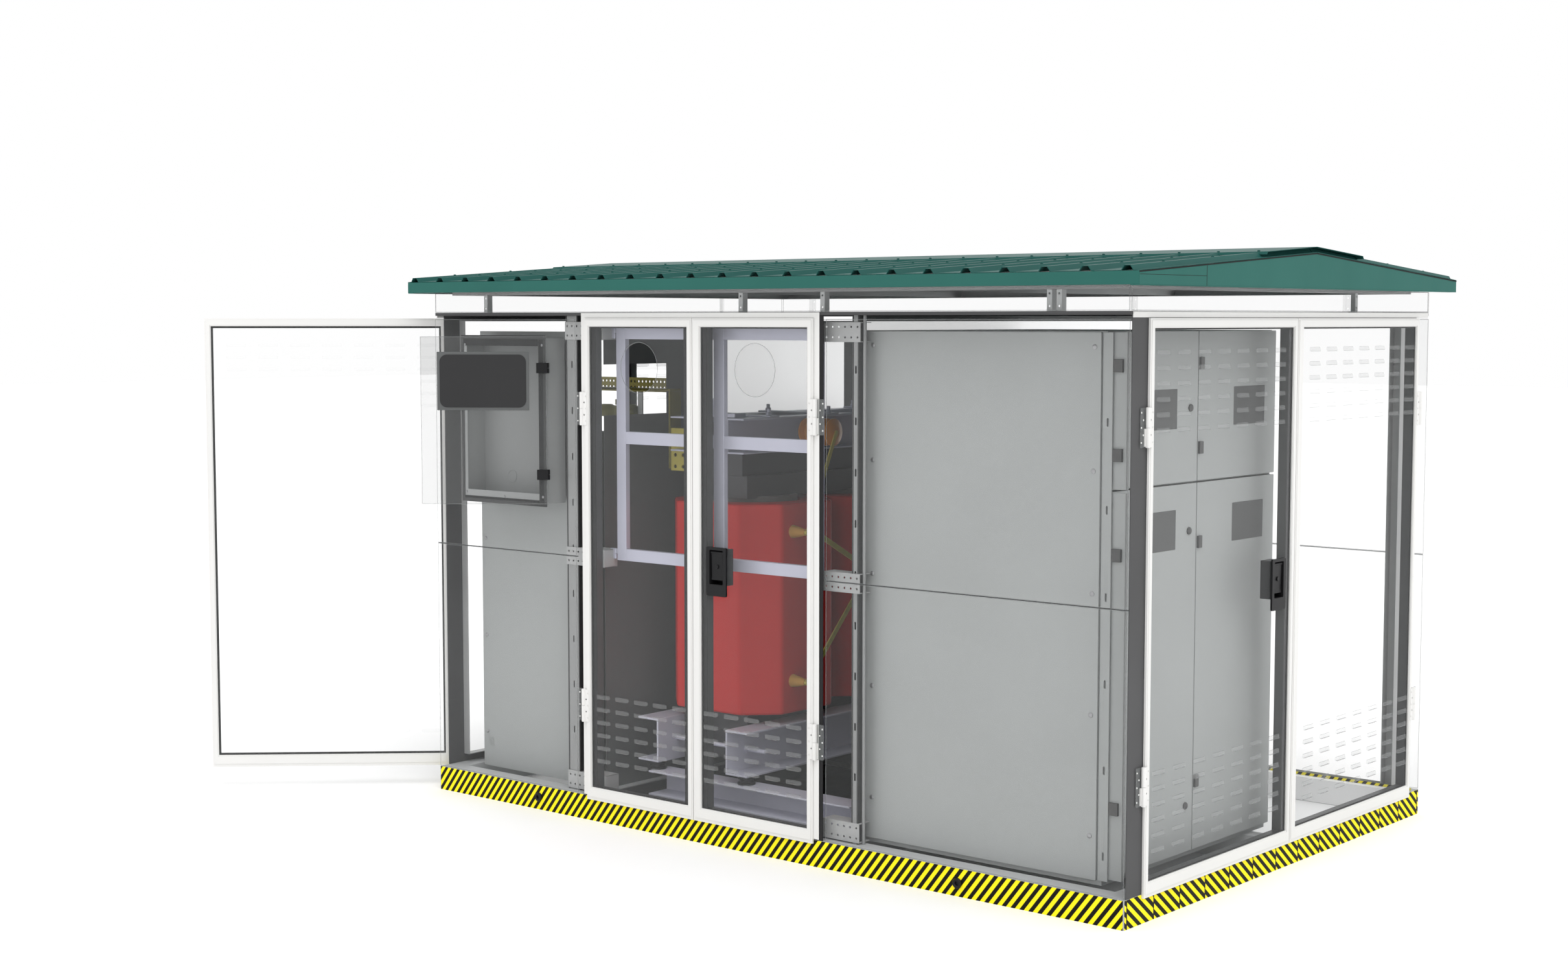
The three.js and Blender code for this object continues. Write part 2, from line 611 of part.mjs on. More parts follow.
// Flat bar in a plane x = const, from one (y, z) point to another.
function flatBar(x, from, to, width = 26, thick = 6) {
  const [dy, dz] = [to[0] - from[0], to[1] - from[1]];
  const length = Math.hypot(dy, dz);
  const bar = block(-thick / 2, thick / 2, -8, length + 8, -width / 2, width / 2);
  return bar.rotateX(Math.atan2(dz, dy)).translate(x, from[0], from[1]);
}

// One delta link: upper terminal of coil `index`, lower terminal of the coil before it, the riser
// to its post insulator. The long link runs in a plane of its own, clear of the other two.
function hvLink(index) {
  const face = TX + COIL_HALF[0] + FIT;
  const tip = -50;
  const long = index === -1;
  const plane = long ? 4 : tip;
  const other = long ? 1 : index - 1;
  const upper = [index * COIL_PITCH - 95, 1242];
  const lower = [other * COIL_PITCH - 95, 612];
  const post = [index * COIL_PITCH + 95, 1652];
  const shapes = [
    rod('x', 25, face, tip + 4, upper[0], upper[1], 10, 13),
    rod('x', 25, face, tip + 4, lower[0], lower[1], 10, 13),
    rod('x', 48, TX + LIMB_HALF[0] + 1 + 94 + FIT, tip, post[0], post[1], 12),
    flatBar(tip, upper, post, 20),
    flatBar(plane, upper, lower),
  ];
  if (long) {
    for (const end of [upper, lower]) shapes.push(rod('x', 9, tip - 4, plane + 4, end[0], end[1], 8));
  }
  return build(shapes);
}

function addTransformer() {
  add(root, 'transformer_core', core(), coreDark);
  for (const i of [-1, 0, 1]) {
    const at = new THREE.Group();
    at.position.set(TX, i * COIL_PITCH, 0);
    root.add(at);
    add(at, `coil_${i + 2}`, coil(), resinRed);
    add(root, `delta_link_${i + 2}`, hvLink(i), busYellow);
  }
  add(root, 'core_top_clamp', topClamp(), gateSteel);
  add(root, 'skid_base', skidBase(), gateSteel);
  add(root, 'neutral_bar', neutralBar(), busYellow);
}

// ---------------------------------------------------------------- medium-voltage bay
function cubicleBody() {
  const wall = 3;
  const { x0, x1, y0, y1, top, split, row } = CUBICLE;
  const cuts = [];
  for (const [a, b] of [[y0 + wall, split - wall], [split + wall, y1 - wall]]) {
    cuts.push(block(x0 + wall, x1 + 1, a, b, BASE_H + 40, row - wall));
    cuts.push(block(x0 + wall, x1 + 1, a, b, row + wall, top - wall));
  }
  return build([block(x0, x1, y0, y1, BASE_H + FIT, top)], cuts);
}

// Cubicle door in its own frame: hinge axis at the origin, outside towards -y, door towards +x.
function cubicleDoor(width, z0, z1, [w0, w1, w2, w3]) {
  const plate = block(4, width, 0, 18, z0, z1);
  return build([plate], [block(w0, w1, -1, 19, w2, w3)]);
}

function addCubicles() {
  const { x1, y0, y1, top, split, row } = CUBICLE;
  add(root, 'cubicle_body', cubicleBody(), cubicleGrey);
  const columns = [['near', y0, split, [-864, -624]], ['far', split, y1, [-200, 41]]];
  for (const [name, from, to, [v0, v1]] of columns) {
    const hinged = new THREE.Group();
    hinged.position.set(x1 + 20, from - 1, 0);
    hinged.rotation.z = Math.PI / 2;
    root.add(hinged);
    const width = to - from - 2;
    const [w0, w1] = [v0 - from + 1, v1 - from + 1];
    const upper = cubicleDoor(width, row + 4, top - 2, [w0, w1, 1725, 1872]);
    const lower = cubicleDoor(width, 130, row - 4, [w0, w1, 1280, 1427]);
    add(hinged, `cubicle_${name}_upper_door`, upper, cubicleGrey);
    add(hinged, `cubicle_${name}_lower_door`, lower, cubicleGrey);
  }
}

// ---------------------------------------------------------------- assembly
add(root, 'base_frame', baseFrame(), baseGrey);
add(root, 'front_frame', frontFrame(), postGrey);
add(root, 'right_end_frame', endFrame(1), postGrey);
add(root, 'left_end_frame', endFrame(-1), postGrey);
add(root, 'rear_frame', rearFrame(), postGrey);
add(root, 'top_rail', topRail(), postGrey);
add(root, 'roof_frame', roofFrame(), baseGrey);
add(root, 'front_roof_sheet', roofSheet(-1), roofGreen);
add(root, 'rear_roof_sheet', roofSheet(1), roofGreen);
add(root, 'ridge_cap', ridgeCap(), roofGreen);
add(root, 'front_fascia', fascia(-1), roofGreen);
add(root, 'rear_fascia', fascia(1), roofGreen);
add(root, 'right_gable', gable(1), roofGreen);
add(root, 'left_gable', gable(-1), roofGreen);
wallPanels();
addLeaves();

const gateHinge = new THREE.Group();
gateHinge.position.set(-772, -1100, 0);
root.add(gateHinge);
add(gateHinge, 'safety_gate', safetyGate(), gateSteel);

add(root, 'meter_box', meterBox(), cubicleGrey);
const meterHinge = new THREE.Group();
meterHinge.position.set(METER_AXIS[0], METER_AXIS[1], 0);
meterHinge.rotation.z = THREE.MathUtils.degToRad(METER_REST);
root.add(meterHinge);
add(meterHinge, 'meter_door', meterDoor(), sheetClear);

add(root, 'low_voltage_partition', lvPartition(), wallDark);
add(root, 'medium_voltage_partition', block(455, 458, -1000, 1148, BASE_H + FIT, 2120), wallDark);
add(root, 'bus_shield', block(-876, -868, -400, 560, 1700, 2110), shieldSteel);
add(root, 'low_voltage_board', lvBoard(), cubicleGrey);
addTransformer();
addCubicles();

export default root;
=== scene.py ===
"""Looks of a transformer kiosk with see-through walls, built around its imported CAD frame.

Metres, in the frame's own axes. Most shapes are drawn in wall coordinates: a to the right as
seen from outside, b up and c outward, which wall() turns and moves into place.
"""
import json
import math

import bmesh
import bpy
from mathutils import Matrix, Vector


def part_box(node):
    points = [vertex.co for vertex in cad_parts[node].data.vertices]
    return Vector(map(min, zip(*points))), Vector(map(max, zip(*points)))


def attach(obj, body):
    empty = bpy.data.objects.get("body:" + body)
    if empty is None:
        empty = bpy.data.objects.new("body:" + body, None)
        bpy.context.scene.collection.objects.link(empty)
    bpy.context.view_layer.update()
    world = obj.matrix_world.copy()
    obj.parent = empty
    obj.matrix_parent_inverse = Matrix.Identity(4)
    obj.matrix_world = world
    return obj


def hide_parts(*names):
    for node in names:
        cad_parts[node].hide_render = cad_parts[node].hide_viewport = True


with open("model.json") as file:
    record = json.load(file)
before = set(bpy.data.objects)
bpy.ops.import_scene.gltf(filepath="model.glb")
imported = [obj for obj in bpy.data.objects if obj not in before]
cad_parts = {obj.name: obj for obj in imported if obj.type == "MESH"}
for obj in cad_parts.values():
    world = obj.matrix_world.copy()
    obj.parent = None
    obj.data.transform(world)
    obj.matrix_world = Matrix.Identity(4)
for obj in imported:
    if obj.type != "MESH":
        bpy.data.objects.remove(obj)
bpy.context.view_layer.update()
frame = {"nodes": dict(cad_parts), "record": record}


def span(node, axis):
    """A node's lowest and highest value along x, y or z."""
    low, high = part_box(node)
    return low["xyz".index(axis)], high["xyz".index(axis)]


# ---- driving sizes
ROOF_OVERHANG = 0.083                # past the end walls
EAVE_RISE = 2.138                    # from the top of the base to the fascia's lower edge
HALF_L = span("front_roof_sheet", "x")[1] - ROOF_OVERHANG
HALF_W = span("rear_lower_panel", "y")[1]
BASE_TOP = span("front_fascia", "z")[0] - EAVE_RISE
POST_LOW = BASE_TOP + 0.0003         # posts stand a fitting gap above the base
RAIL_LOW, RAIL_TOP = span("top_rail", "z")
RAIL_LIP = RAIL_LOW + 0.012           # underside of the rail's thin edge
EAVE_LOW, EAVE_TOP = span("front_fascia", "z")
ROOF_X = span("ridge_cap", "x")[1]
ROOF_Y, RIDGE_TOP = span("right_gable", "y")[1], span("right_gable", "z")[1]
ROOF_FALL = (RIDGE_TOP - EAVE_TOP) / ROOF_Y
RIB_COUNT, RIB_PITCH = 23, 0.1668
WRAP_W = 0.45                        # corner wrap folded round each gable's front end
DOOR_SILL, DOOR_HEAD = 0.146, 2.090  # openings of the door frames
LEFT_HEAD = 2.118                    # the left end's openings reach higher
LEAF_LOW, LEAF_TOP = span("right_near_leaf_frame", "z")
LEAF_THICK = 0.012
LEAF_SIDE, LEAF_MEET = 0.028, 0.042
LEAF_HEAD, LEAF_FOOT = 0.035, 0.055
AXIS_OUT = 0.0135                    # hinge axes stand this far in front of the wall faces
AXIS_TO_LEAF = 0.014
HINGE_Z, HINGE_HALF = (0.494, 1.753), 0.070
LATCH_Z = span("front_right_latch_pan", "z")
OPEN_REST = math.radians(133)
METER_REST = math.radians(38)
METER_AXIS = (-1.060, -HALF_W - 0.012)
METER_HINGES = (1.465, 1.920)
GATE_HINGES = (1.138, 2.069)
ROOT = "kiosk"

# ---- materials
slots_of = {entry["node"]: entry["material_slot"] for entry in frame["record"]["subparts"]}


def new_material(name):
    material = bpy.data.materials.new(name)
    material.use_nodes = True
    return material, material.node_tree.nodes, material.node_tree.links


def noise(nodes, links, scale, detail=4.0, stretch=(1, 1, 1)):
    """Noise in the object's own metres; returns its factor socket."""
    place = nodes.new("ShaderNodeTexCoord")
    turn = nodes.new("ShaderNodeMapping")
    turn.inputs["Scale"].default_value = stretch
    cloud = nodes.new("ShaderNodeTexNoise")
    cloud.inputs["Scale"].default_value = scale
    cloud.inputs["Detail"].default_value = detail
    links.new(place.outputs["Object"], turn.inputs["Vector"])
    links.new(turn.outputs["Vector"], cloud.inputs["Vector"])
    return cloud.outputs["Fac"]


def ranged(nodes, links, source, low, high):
    scale = nodes.new("ShaderNodeMapRange")
    scale.inputs["From Min"].default_value = 0.3
    scale.inputs["From Max"].default_value = 0.7
    scale.inputs["To Min"].default_value = low
    scale.inputs["To Max"].default_value = high
    links.new(source, scale.inputs["Value"])
    return scale.outputs["Result"]


def coated(name, colour, rough=0.45, metal=0.0, tone=0.04, grain=140.0, bump=0.006,
           stretch=(1, 1, 1), coat=0.0, shine=0.18):
    """Painted, cast or bare surface: slow tone drift, mottled gloss and a fine grain."""
    material, nodes, links = new_material(name)
    shader = nodes["Principled BSDF"]
    shader.inputs["Metallic"].default_value = metal
    shader.inputs["Coat Weight"].default_value = coat
    shader.inputs["Specular IOR Level"].default_value = shine
    ramp = nodes.new("ShaderNodeValToRGB")
    ramp.color_ramp.elements[0].position = 0.3
    ramp.color_ramp.elements[1].position = 0.7
    ramp.color_ramp.elements[0].color = (*[c * (1 - tone) for c in colour], 1)
    ramp.color_ramp.elements[1].color = (*[min(1, c * (1 + tone)) for c in colour], 1)
    links.new(noise(nodes, links, 2.6, 6.0), ramp.inputs["Fac"])
    links.new(ramp.outputs["Color"], shader.inputs["Base Color"])
    mottle = noise(nodes, links, 9.0, 3.0, stretch)
    links.new(ranged(nodes, links, mottle, rough - 0.02, rough + 0.03), shader.inputs["Roughness"])
    relief = nodes.new("ShaderNodeBump")
    relief.inputs["Strength"].default_value = bump
    relief.inputs["Distance"].default_value = 0.0003
    links.new(noise(nodes, links, grain, 2.0, stretch), relief.inputs["Height"])
    links.new(relief.outputs["Normal"], shader.inputs["Normal"])
    return material


def see_through(name, colour, alpha, rough=0.12):
    """Clear sheet: mostly open, with a faint milky veil and a soft gloss."""
    material = coated(name, colour, rough, tone=0.02, bump=0.01)
    material.node_tree.nodes["Principled BSDF"].inputs["Alpha"].default_value = alpha
    material.node_tree.nodes["Principled BSDF"].inputs["Specular IOR Level"].default_value = 0.25
    return material


def calculate(nodes, links, operation, first, second):
    """One Math node; each input is a socket or a number."""
    step = nodes.new("ShaderNodeMath")
    step.operation = operation
    for socket, value in zip(step.inputs, (first, second)):
        if isinstance(value, (int, float)):
            socket.default_value = value
        else:
            links.new(value, socket)
    return step.outputs[0]


def hazard(name, along, pitch, lean, tape=0.0, start=0.0):
    """Yellow and black slanted bands. With a tape length, the bands restart at each seam."""
    material, nodes, links = new_material(name)
    shader = nodes["Principled BSDF"]
    shader.inputs["Roughness"].default_value = 0.55
    shader.inputs["Specular IOR Level"].default_value = 0.15
    place = nodes.new("ShaderNodeTexCoord")
    split = nodes.new("ShaderNodeSeparateXYZ")
    links.new(place.outputs["Object"], split.inputs["Vector"])
    def solve(operation, first, second):
        return calculate(nodes, links, operation, first, second)

    run = solve("SUBTRACT", split.outputs[along], start)
    if tape:
        run = solve("FLOORED_MODULO", run, tape)
    slant = solve("MULTIPLY", split.outputs["Z"], lean)
    phase = solve("SUBTRACT", run, slant)
    phase = solve("FLOORED_MODULO", phase, pitch)
    yellow = solve("LESS_THAN", phase, pitch / 2)
    if tape:
        seam = solve("GREATER_THAN", run, 0.006)
        yellow = solve("MULTIPLY", yellow, seam)
    worn = ranged(nodes, links, noise(nodes, links, 60.0), 0.96, 1.0)
    yellow = solve("MULTIPLY", yellow, worn)
    paint = nodes.new("ShaderNodeMix")
    paint.data_type = "RGBA"
    links.new(yellow, paint.inputs["Factor"])
    paint.inputs[6].default_value = (0.003, 0.003, 0.003, 1)
    paint.inputs[7].default_value = (1.0, 0.86, 0.012, 1)
    links.new(paint.outputs[2], shader.inputs["Base Color"])
    return material


roof_green = coated("roof_green", (0.016, 0.085, 0.074), 0.42, tone=0.06, shine=0.08)
fascia_green = coated("fascia_green", (0.030, 0.128, 0.108), 0.45, tone=0.04, shine=0.06)
# painted shade: near-black for the underside of the roof overhang
soffit_painted_shade = coated("soffit_painted_shade", (0.045, 0.045, 0.045), 0.6, tone=0.05, shine=0.05)
post_dark = coated("post_dark", (0.026, 0.026, 0.027), 0.45, 0.1, tone=0.08, shine=0.08)
end_dark = coated("end_dark", (0.085, 0.085, 0.087), 0.45, 0.1, tone=0.08, shine=0.1)
lip_dark = coated("lip_dark", (0.060, 0.061, 0.062), 0.4, 0.1, tone=0.08, shine=0.2)
lip_pale = coated("lip_pale", (0.36, 0.365, 0.365), 0.4, 0.1, tone=0.08, shine=0.3)
upright_grey = coated("upright_grey", (0.27, 0.275, 0.275), 0.4, 0.3, tone=0.05, shine=0.4)
post_mid = coated("post_mid", (0.37, 0.375, 0.375), 0.45, 0.1, tone=0.06)
rail_light = coated("rail_light", (0.56, 0.57, 0.57), 0.38, 0.3, tone=0.05)
base_grey = coated("base_grey", (0.42, 0.43, 0.433), 0.5, tone=0.04)
# painted light: near-white paint that stands for light on surfaces lying in shade
base_painted_light = coated("base_painted_light", (0.90, 0.90, 0.90), 0.5, tone=0.01)
# painted shade: near-black for the shade under the transformer
pan_painted_shade = coated("pan_painted_shade", (0.014, 0.014, 0.016), 0.14, 0.2, tone=0.1, shine=0.5)
door_white = coated("door_white", (0.76, 0.755, 0.74), 0.4, tone=0.015)
panel_grey = coated("panel_grey", (0.335, 0.348, 0.346), 0.5, tone=0.02)
pan_grey = coated("pan_grey", (0.36, 0.37, 0.37), 0.5, tone=0.03)
panel_dark = coated("panel_dark", (0.115, 0.12, 0.12), 0.5, 0.1, tone=0.06)
gate_steel = coated("gate_steel", (0.46, 0.465, 0.55), 0.4, 0.25, tone=0.04)
skid_steel = coated("skid_steel", (0.54, 0.54, 0.62), 0.42, 0.2, tone=0.04)
resin_red = coated("resin_red", (0.50, 0.022, 0.020), 0.42, tone=0.04, shine=0.15)
winding_grey = coated("winding_grey", (0.17, 0.165, 0.16), 0.6, tone=0.1)
core_dark = coated("core_dark", (0.070, 0.070, 0.074), 0.45, 0.35, tone=0.1, bump=0.06,
                   grain=300.0, stretch=(1, 0.02, 1))
brass_yellow = coated("brass_yellow", (0.44, 0.38, 0.085), 0.38, 0.35, tone=0.1)
cone_brown = coated("cone_brown", (0.42, 0.23, 0.045), 0.45, tone=0.06)
clamp_olive = coated("clamp_olive", (0.115, 0.110, 0.020), 0.45, tone=0.08)
bar_olive = coated("bar_olive", (0.165, 0.145, 0.035), 0.4, 0.4, tone=0.1)
insulator_orange = coated("insulator_orange", (0.50, 0.20, 0.04), 0.35, tone=0.06, coat=0.3)
steel_painted_glow = coated("steel_painted_glow", (0.92, 0.92, 0.92), 0.34, 0.15, tone=0.01, bump=0.0, shine=0.6)
glow_inputs = steel_painted_glow.node_tree.nodes["Principled BSDF"].inputs
glow_inputs["Emission Color"].default_value = (1, 1, 1, 1)
glow_inputs["Emission Strength"].default_value = 0.46   # painted reflection: the glow stands for its mirror brightness
black_plastic = coated("black_plastic", (0.010, 0.010, 0.011), 0.38, tone=0.1)
fuse_black = coated("fuse_black", (0.014, 0.014, 0.015), 0.42, tone=0.03, bump=0.0, shine=0.25)
hinge_grey = coated("hinge_grey", (0.085, 0.085, 0.085), 0.45, tone=0.08)
dark_window = coated("dark_window", (0.036, 0.036, 0.037), 0.3, tone=0.05, bump=0.0, shine=0.12)
window_grey = coated("window_grey", (0.095, 0.097, 0.097), 0.4, tone=0.03, bump=0.0, shine=0.12)
gasket_black = coated("gasket_black", (0.012, 0.012, 0.012), 0.7, tone=0.1)
bolt_steel = coated("bolt_steel", (0.35, 0.35, 0.36), 0.35, 0.8, tone=0.08)
clear_pane = see_through("clear_pane", (0.80, 0.82, 0.82), 0.03)
clear_wall = see_through("clear_wall", (0.80, 0.82, 0.82), 0.02)
clear_edge = see_through("clear_edge", (0.25, 0.26, 0.26), 0.30)
ghost_grey = see_through("ghost_grey", (0.45, 0.46, 0.46), 0.10)
clear_door = see_through("clear_door", (0.16, 0.165, 0.165), 0.16)
louvre_clear = see_through("louvre_clear", (0.46, 0.47, 0.47), 0.12, 0.25)
louvre_lip = see_through("louvre_lip", (0.30, 0.31, 0.31), 0.40, 0.3)
louvre_faint = see_through("louvre_faint", (0.70, 0.71, 0.71), 0.04, 0.10)
stripe_long = hazard("stripe_long", "X", 0.03866, 0.78, start=-1.7876)
stripe_end = hazard("stripe_end", "Y", 0.052, -1.27, tape=0.182, start=-1.185)

# ---- shapes


def wall(origin, turn=0.0):
    """Wall coordinates to the frame's: at turn 0 the wall faces -Y."""
    upright = Matrix(((1, 0, 0, 0), (0, 0, -1, 0), (0, 1, 0, 0), (0, 0, 0, 1)))
    return Matrix.Translation(Vector(origin)) @ Matrix.Rotation(turn, 4, "Z") @ upright


FRONT = wall((0, -HALF_W, 0))
REAR = wall((0, HALF_W, 0), math.pi)
RIGHT = wall((HALF_L, 0, 0), math.pi / 2)
LEFT = wall((-HALF_L, 0, 0), -math.pi / 2)
LYING = Matrix()                     # plain x, y, z


def rectangle(a0, a1, b0, b1):
    return [(a0, b0), (a1, b0), (a1, b1), (a0, b1)]


def inset(box, by):
    """A box (a0, a1, b0, b1) with every side moved inwards, or outwards when `by` is negative."""
    a0, a1, b0, b1 = box
    return a0 + by, a1 - by, b0 + by, b1 - by


def spread(side, start, end):
    return tuple(sorted((side * start, side * end)))


def circle(a, b, radius, sides=16):
    turns = [2 * math.pi * i / sides for i in range(sides)]
    return [(a + radius * math.cos(t), b + radius * math.sin(t)) for t in turns]


def rounded(a0, a1, b0, b1, radius, steps=4):
    """A rectangle with round corners; a slot when the radius is half its height."""
    points = []
    corners = ((a1, b0, -90), (a1, b1, 0), (a0, b1, 90), (a0, b0, 180))
    for a, b, first in corners:
        centre_a = a - math.copysign(radius, a - (a0 + a1) / 2)
        centre_b = b - math.copysign(radius, b - (b0 + b1) / 2)
        for i in range(steps + 1):
            t = math.radians(first + 90 * i / steps)
            points.append((centre_a + radius * math.cos(t), centre_b + radius * math.sin(t)))
    return points


class Shape:
    """Closed solids gathered into one mesh, in the coordinates of `place`."""

    def __init__(self, place=LYING):
        self.mesh = bmesh.new()
        self.place = place

    def _take(self, part):
        bmesh.ops.recalc_face_normals(part, faces=part.faces[:])
        holder = bpy.data.meshes.new("holder")
        part.to_mesh(holder)
        part.free()
        self.mesh.from_mesh(holder)
        bpy.data.meshes.remove(holder)
        return self

    def loft(self, rings):
        """A closed body through rings of equally many points."""
        part = bmesh.new()
        rows = [[part.verts.new(p) for p in ring] for ring in rings]
        for low, high in zip(rows, rows[1:]):
            for i in range(len(low)):
                j = (i + 1) % len(low)
                part.faces.new((low[i], low[j], high[j], high[i]))
        part.faces.new(rows[0][::-1])
        part.faces.new(rows[-1])
        return self._take(part)

    def prism(self, outline, axis, start, end):
        """An outline pushed along one axis; its points are in the other two, in order."""
        def point(p, s):
            values = list(p)
            values.insert(axis, s)
            return values
        return self.loft([[point(p, s) for p in outline] for s in (start, end)])

    def box(self, a0, a1, b0, b1, c0, c1):
        return self.prism(rectangle(a0, a1, b0, b1), 2, c0, c1)

    def boxes(self, *boxes):
        for box in boxes:
            self.box(*box)
        return self

    def rod(self, centre, axis, radii, stations, sides=24):
        """Turned bar: one radius per station along the axis, round a centre in the other two."""
        rings = []
        for radius, station in zip(radii, stations):
            ring = []
            for p in circle(*centre, radius, sides):
                values = list(p)
                values.insert(axis, station)
                ring.append(values)
            rings.append(ring)
        return self.loft(rings)

    def rods(self, centres, axis, radii, stations, sides=24):
        for centre in centres:
            self.rod(centre, axis, radii, stations, sides)
        return self

    def sheet(self, outline, holes, c0, c1):
        """A flat plate with holes, c0 to c1 thick."""
        part = bmesh.new()
        for loop in (outline, *holes):
            corners = [part.verts.new((a, b, c0)) for a, b in loop]
            for p, q in zip(corners, corners[1:] + corners[:1]):
                part.edges.new((p, q))
        bmesh.ops.triangle_fill(part, use_beauty=True, use_dissolve=False, edges=part.edges[:])
        made = bmesh.ops.extrude_face_region(part, geom=part.faces[:])["geom"]
        for v in made:
            if isinstance(v, bmesh.types.BMVert):
                v.co.z = c1
        return self._take(part)

    def ring(self, outer, inner, c0, c1):
        return self.sheet(rectangle(*outer), [rectangle(*inner)], c0, c1)


def piece(name, shape, material, body=ROOT, replaces=(), slot=None, bevel=0.0):
    """Turns a shape into a finished object that rides on a body."""
    mesh = bpy.data.meshes.new(name)
    shape.mesh.transform(shape.place)
    if shape.place.determinant() < 0:
        bmesh.ops.reverse_faces(shape.mesh, faces=shape.mesh.faces[:])
    shape.mesh.to_mesh(mesh)
    shape.mesh.free()
    mesh.materials.append(material)
    mesh.shade_smooth()
    mesh.set_sharp_from_angle(angle=math.radians(32))
    made = bpy.data.objects.new(name, mesh)
    bpy.context.scene.collection.objects.link(made)
    if bevel:
        edge = made.modifiers.new("edge", "BEVEL")
        edge.width = bevel
        edge.segments = 2
        edge.limit_method = "ANGLE"
        edge.angle_limit = math.radians(40)
        edge.harden_normals = True
    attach(made, body)
    if replaces:
        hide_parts(*replaces)
        slot = slot or slots_of[replaces[0]]
    return made


def dress(node, material):
    """Gives a CAD node that stays in view its procedural material."""
    shown = frame["nodes"][node]
    shown.data.materials.clear()
    shown.data.materials.append(material)


# ---- base
def make_base():
    rim = 0.09
    cells = [(-HALF_L + rim, -0.92), (-0.84, 0.415), (0.495, HALF_L - rim)]
    rows = [(-HALF_W + rim, -0.035), (0.035, HALF_W - rim)]
    holes = [rectangle(*cell, *row) for cell in cells for row in rows]
    outline = rectangle(-HALF_L, HALF_L, -HALF_W, HALF_W)
    beams = Shape().sheet(outline, holes, 0.0, BASE_TOP)
    piece("base_channels", beams, base_grey, replaces=["base_frame"], bevel=0.0015)
    # Near-white sheets on the tops and inner faces of the rear and right beams: painted light, so this cell
    # reads lit where the roof's shade falls.
    lining = Shape()
    top = BASE_TOP + 0.0001
    lining.boxes((0.497, HALF_L - 0.041, HALF_W - rim, HALF_W - 0.051, BASE_TOP, top),
                 (HALF_L - rim, HALF_L - 0.041, 0.02, HALF_W - rim, BASE_TOP, top),
                 (0.497, HALF_L - rim, HALF_W - rim - 0.0006, HALF_W - rim, 0.002, BASE_TOP),
                 (HALF_L - rim - 0.0006, HALF_L - rim, 0.04, HALF_W - rim, 0.002, BASE_TOP))
    piece("base_pale_lining", lining, base_painted_light, slot="base_paint")
    fold = Shape().box(0.50, HALF_L - 0.010, HALF_W - 0.051, HALF_W - 0.0505, BASE_TOP, BASE_TOP + 0.012)
    piece("hazard_edge_rear", fold, stripe_long, slot="base_paint")
    # A pan in the transformer bay, painted near-black: painted shade under the transformer.
    pan = Shape()
    for low, high in rows:
        pan.box(cells[1][0] - 0.001, cells[1][1] + 0.001, low - 0.001, high + 0.001,
                BASE_TOP - 0.012, BASE_TOP - 0.004)
    piece("floor_pan", pan, pan_painted_shade, slot="base_paint", bevel=0.001)

    skin = 0.0008
    reach = 0.004
    bands = ((FRONT, HALF_L, stripe_long, "front"), (REAR, HALF_L, stripe_long, "rear"),
             (RIGHT, HALF_W, stripe_end, "right"), (LEFT, HALF_W, stripe_end, "left"))
    for place, half, stripes, side in bands:
        band = Shape(place).box(-half + reach, half - reach, 0.0, BASE_TOP - 0.001, 0.0, skin)
        piece(f"hazard_band_{side}", band, stripes, slot="base_paint")
    bosses = Shape(FRONT)
    back = Shape(REAR)
    for a, b in ((-1.152, 0.055), (1.088, 0.050)):
        radii = (0.020, 0.020, 0.017, 0.010, 0.008, 0.008)
        stations = (skin, 0.006, 0.009, 0.009, 0.007, 0.002)
        bosses.rod((a, b), 2, radii, stations, 28)
        back.rod((-a, b), 2, radii, stations, 28)
    piece("lift_bosses_front", bosses, black_plastic, slot="base_paint")
    piece("lift_bosses_rear", back, black_plastic, slot="base_paint")

    bearers = Shape()
    pads = Shape()
    for side in (-1, 1):
        near, far = sorted((side * 0.910, side * 1.030))
        outline = [(near, BASE_TOP), (far, BASE_TOP), (far, 0.212), (near, 0.212),
                   (near, 0.204), (far - 0.008, 0.204), (far - 0.008, BASE_TOP + 0.008),
                   (near, BASE_TOP + 0.008)]
        bearers.prism(outline, 0, -0.655, 0.440)
        for x in (-0.686, -0.182):
            radii = (0.038, 0.038, 0.031, 0.031, 0.036, 0.036)
            stations = (0.212, 0.219, 0.221, 0.234, 0.236, 0.2435)
            pads.rod((x + 0.03, side * 0.970), 2, radii, stations, 28)
    piece("transformer_bearers", bearers, skid_steel, slot="base_paint", bevel=0.0015)
    piece("bearer_pads", pads, black_plastic, slot="latch_black")


# ---- wall frames
def plate_points(side, wide):
    """Centres of the five fixings on each plate of a lift-off hinge, in two staggered columns."""
    for z in HINGE_Z:
        for i in range(5):
            share = 0.80 if i % 2 == 0 else 0.42
            yield side * (0.004 + wide * share), z - 0.052 + i * 0.026


def hinge_plate(shape, side, wide, thick):
    """Drilled plates of a pair of lift-off hinges."""
    for z in HINGE_Z:
        first, last = spread(side, 0.004, 0.004 + wide)
        holes = [circle(a, b, 0.0035, 12) for a, b in plate_points(side, wide)
                 if abs(b - z) < HINGE_HALF]
        outline = rounded(first, last, z - 0.069, z + 0.069, 0.004)
        shape.sheet(outline, holes, thick[0], thick[1])


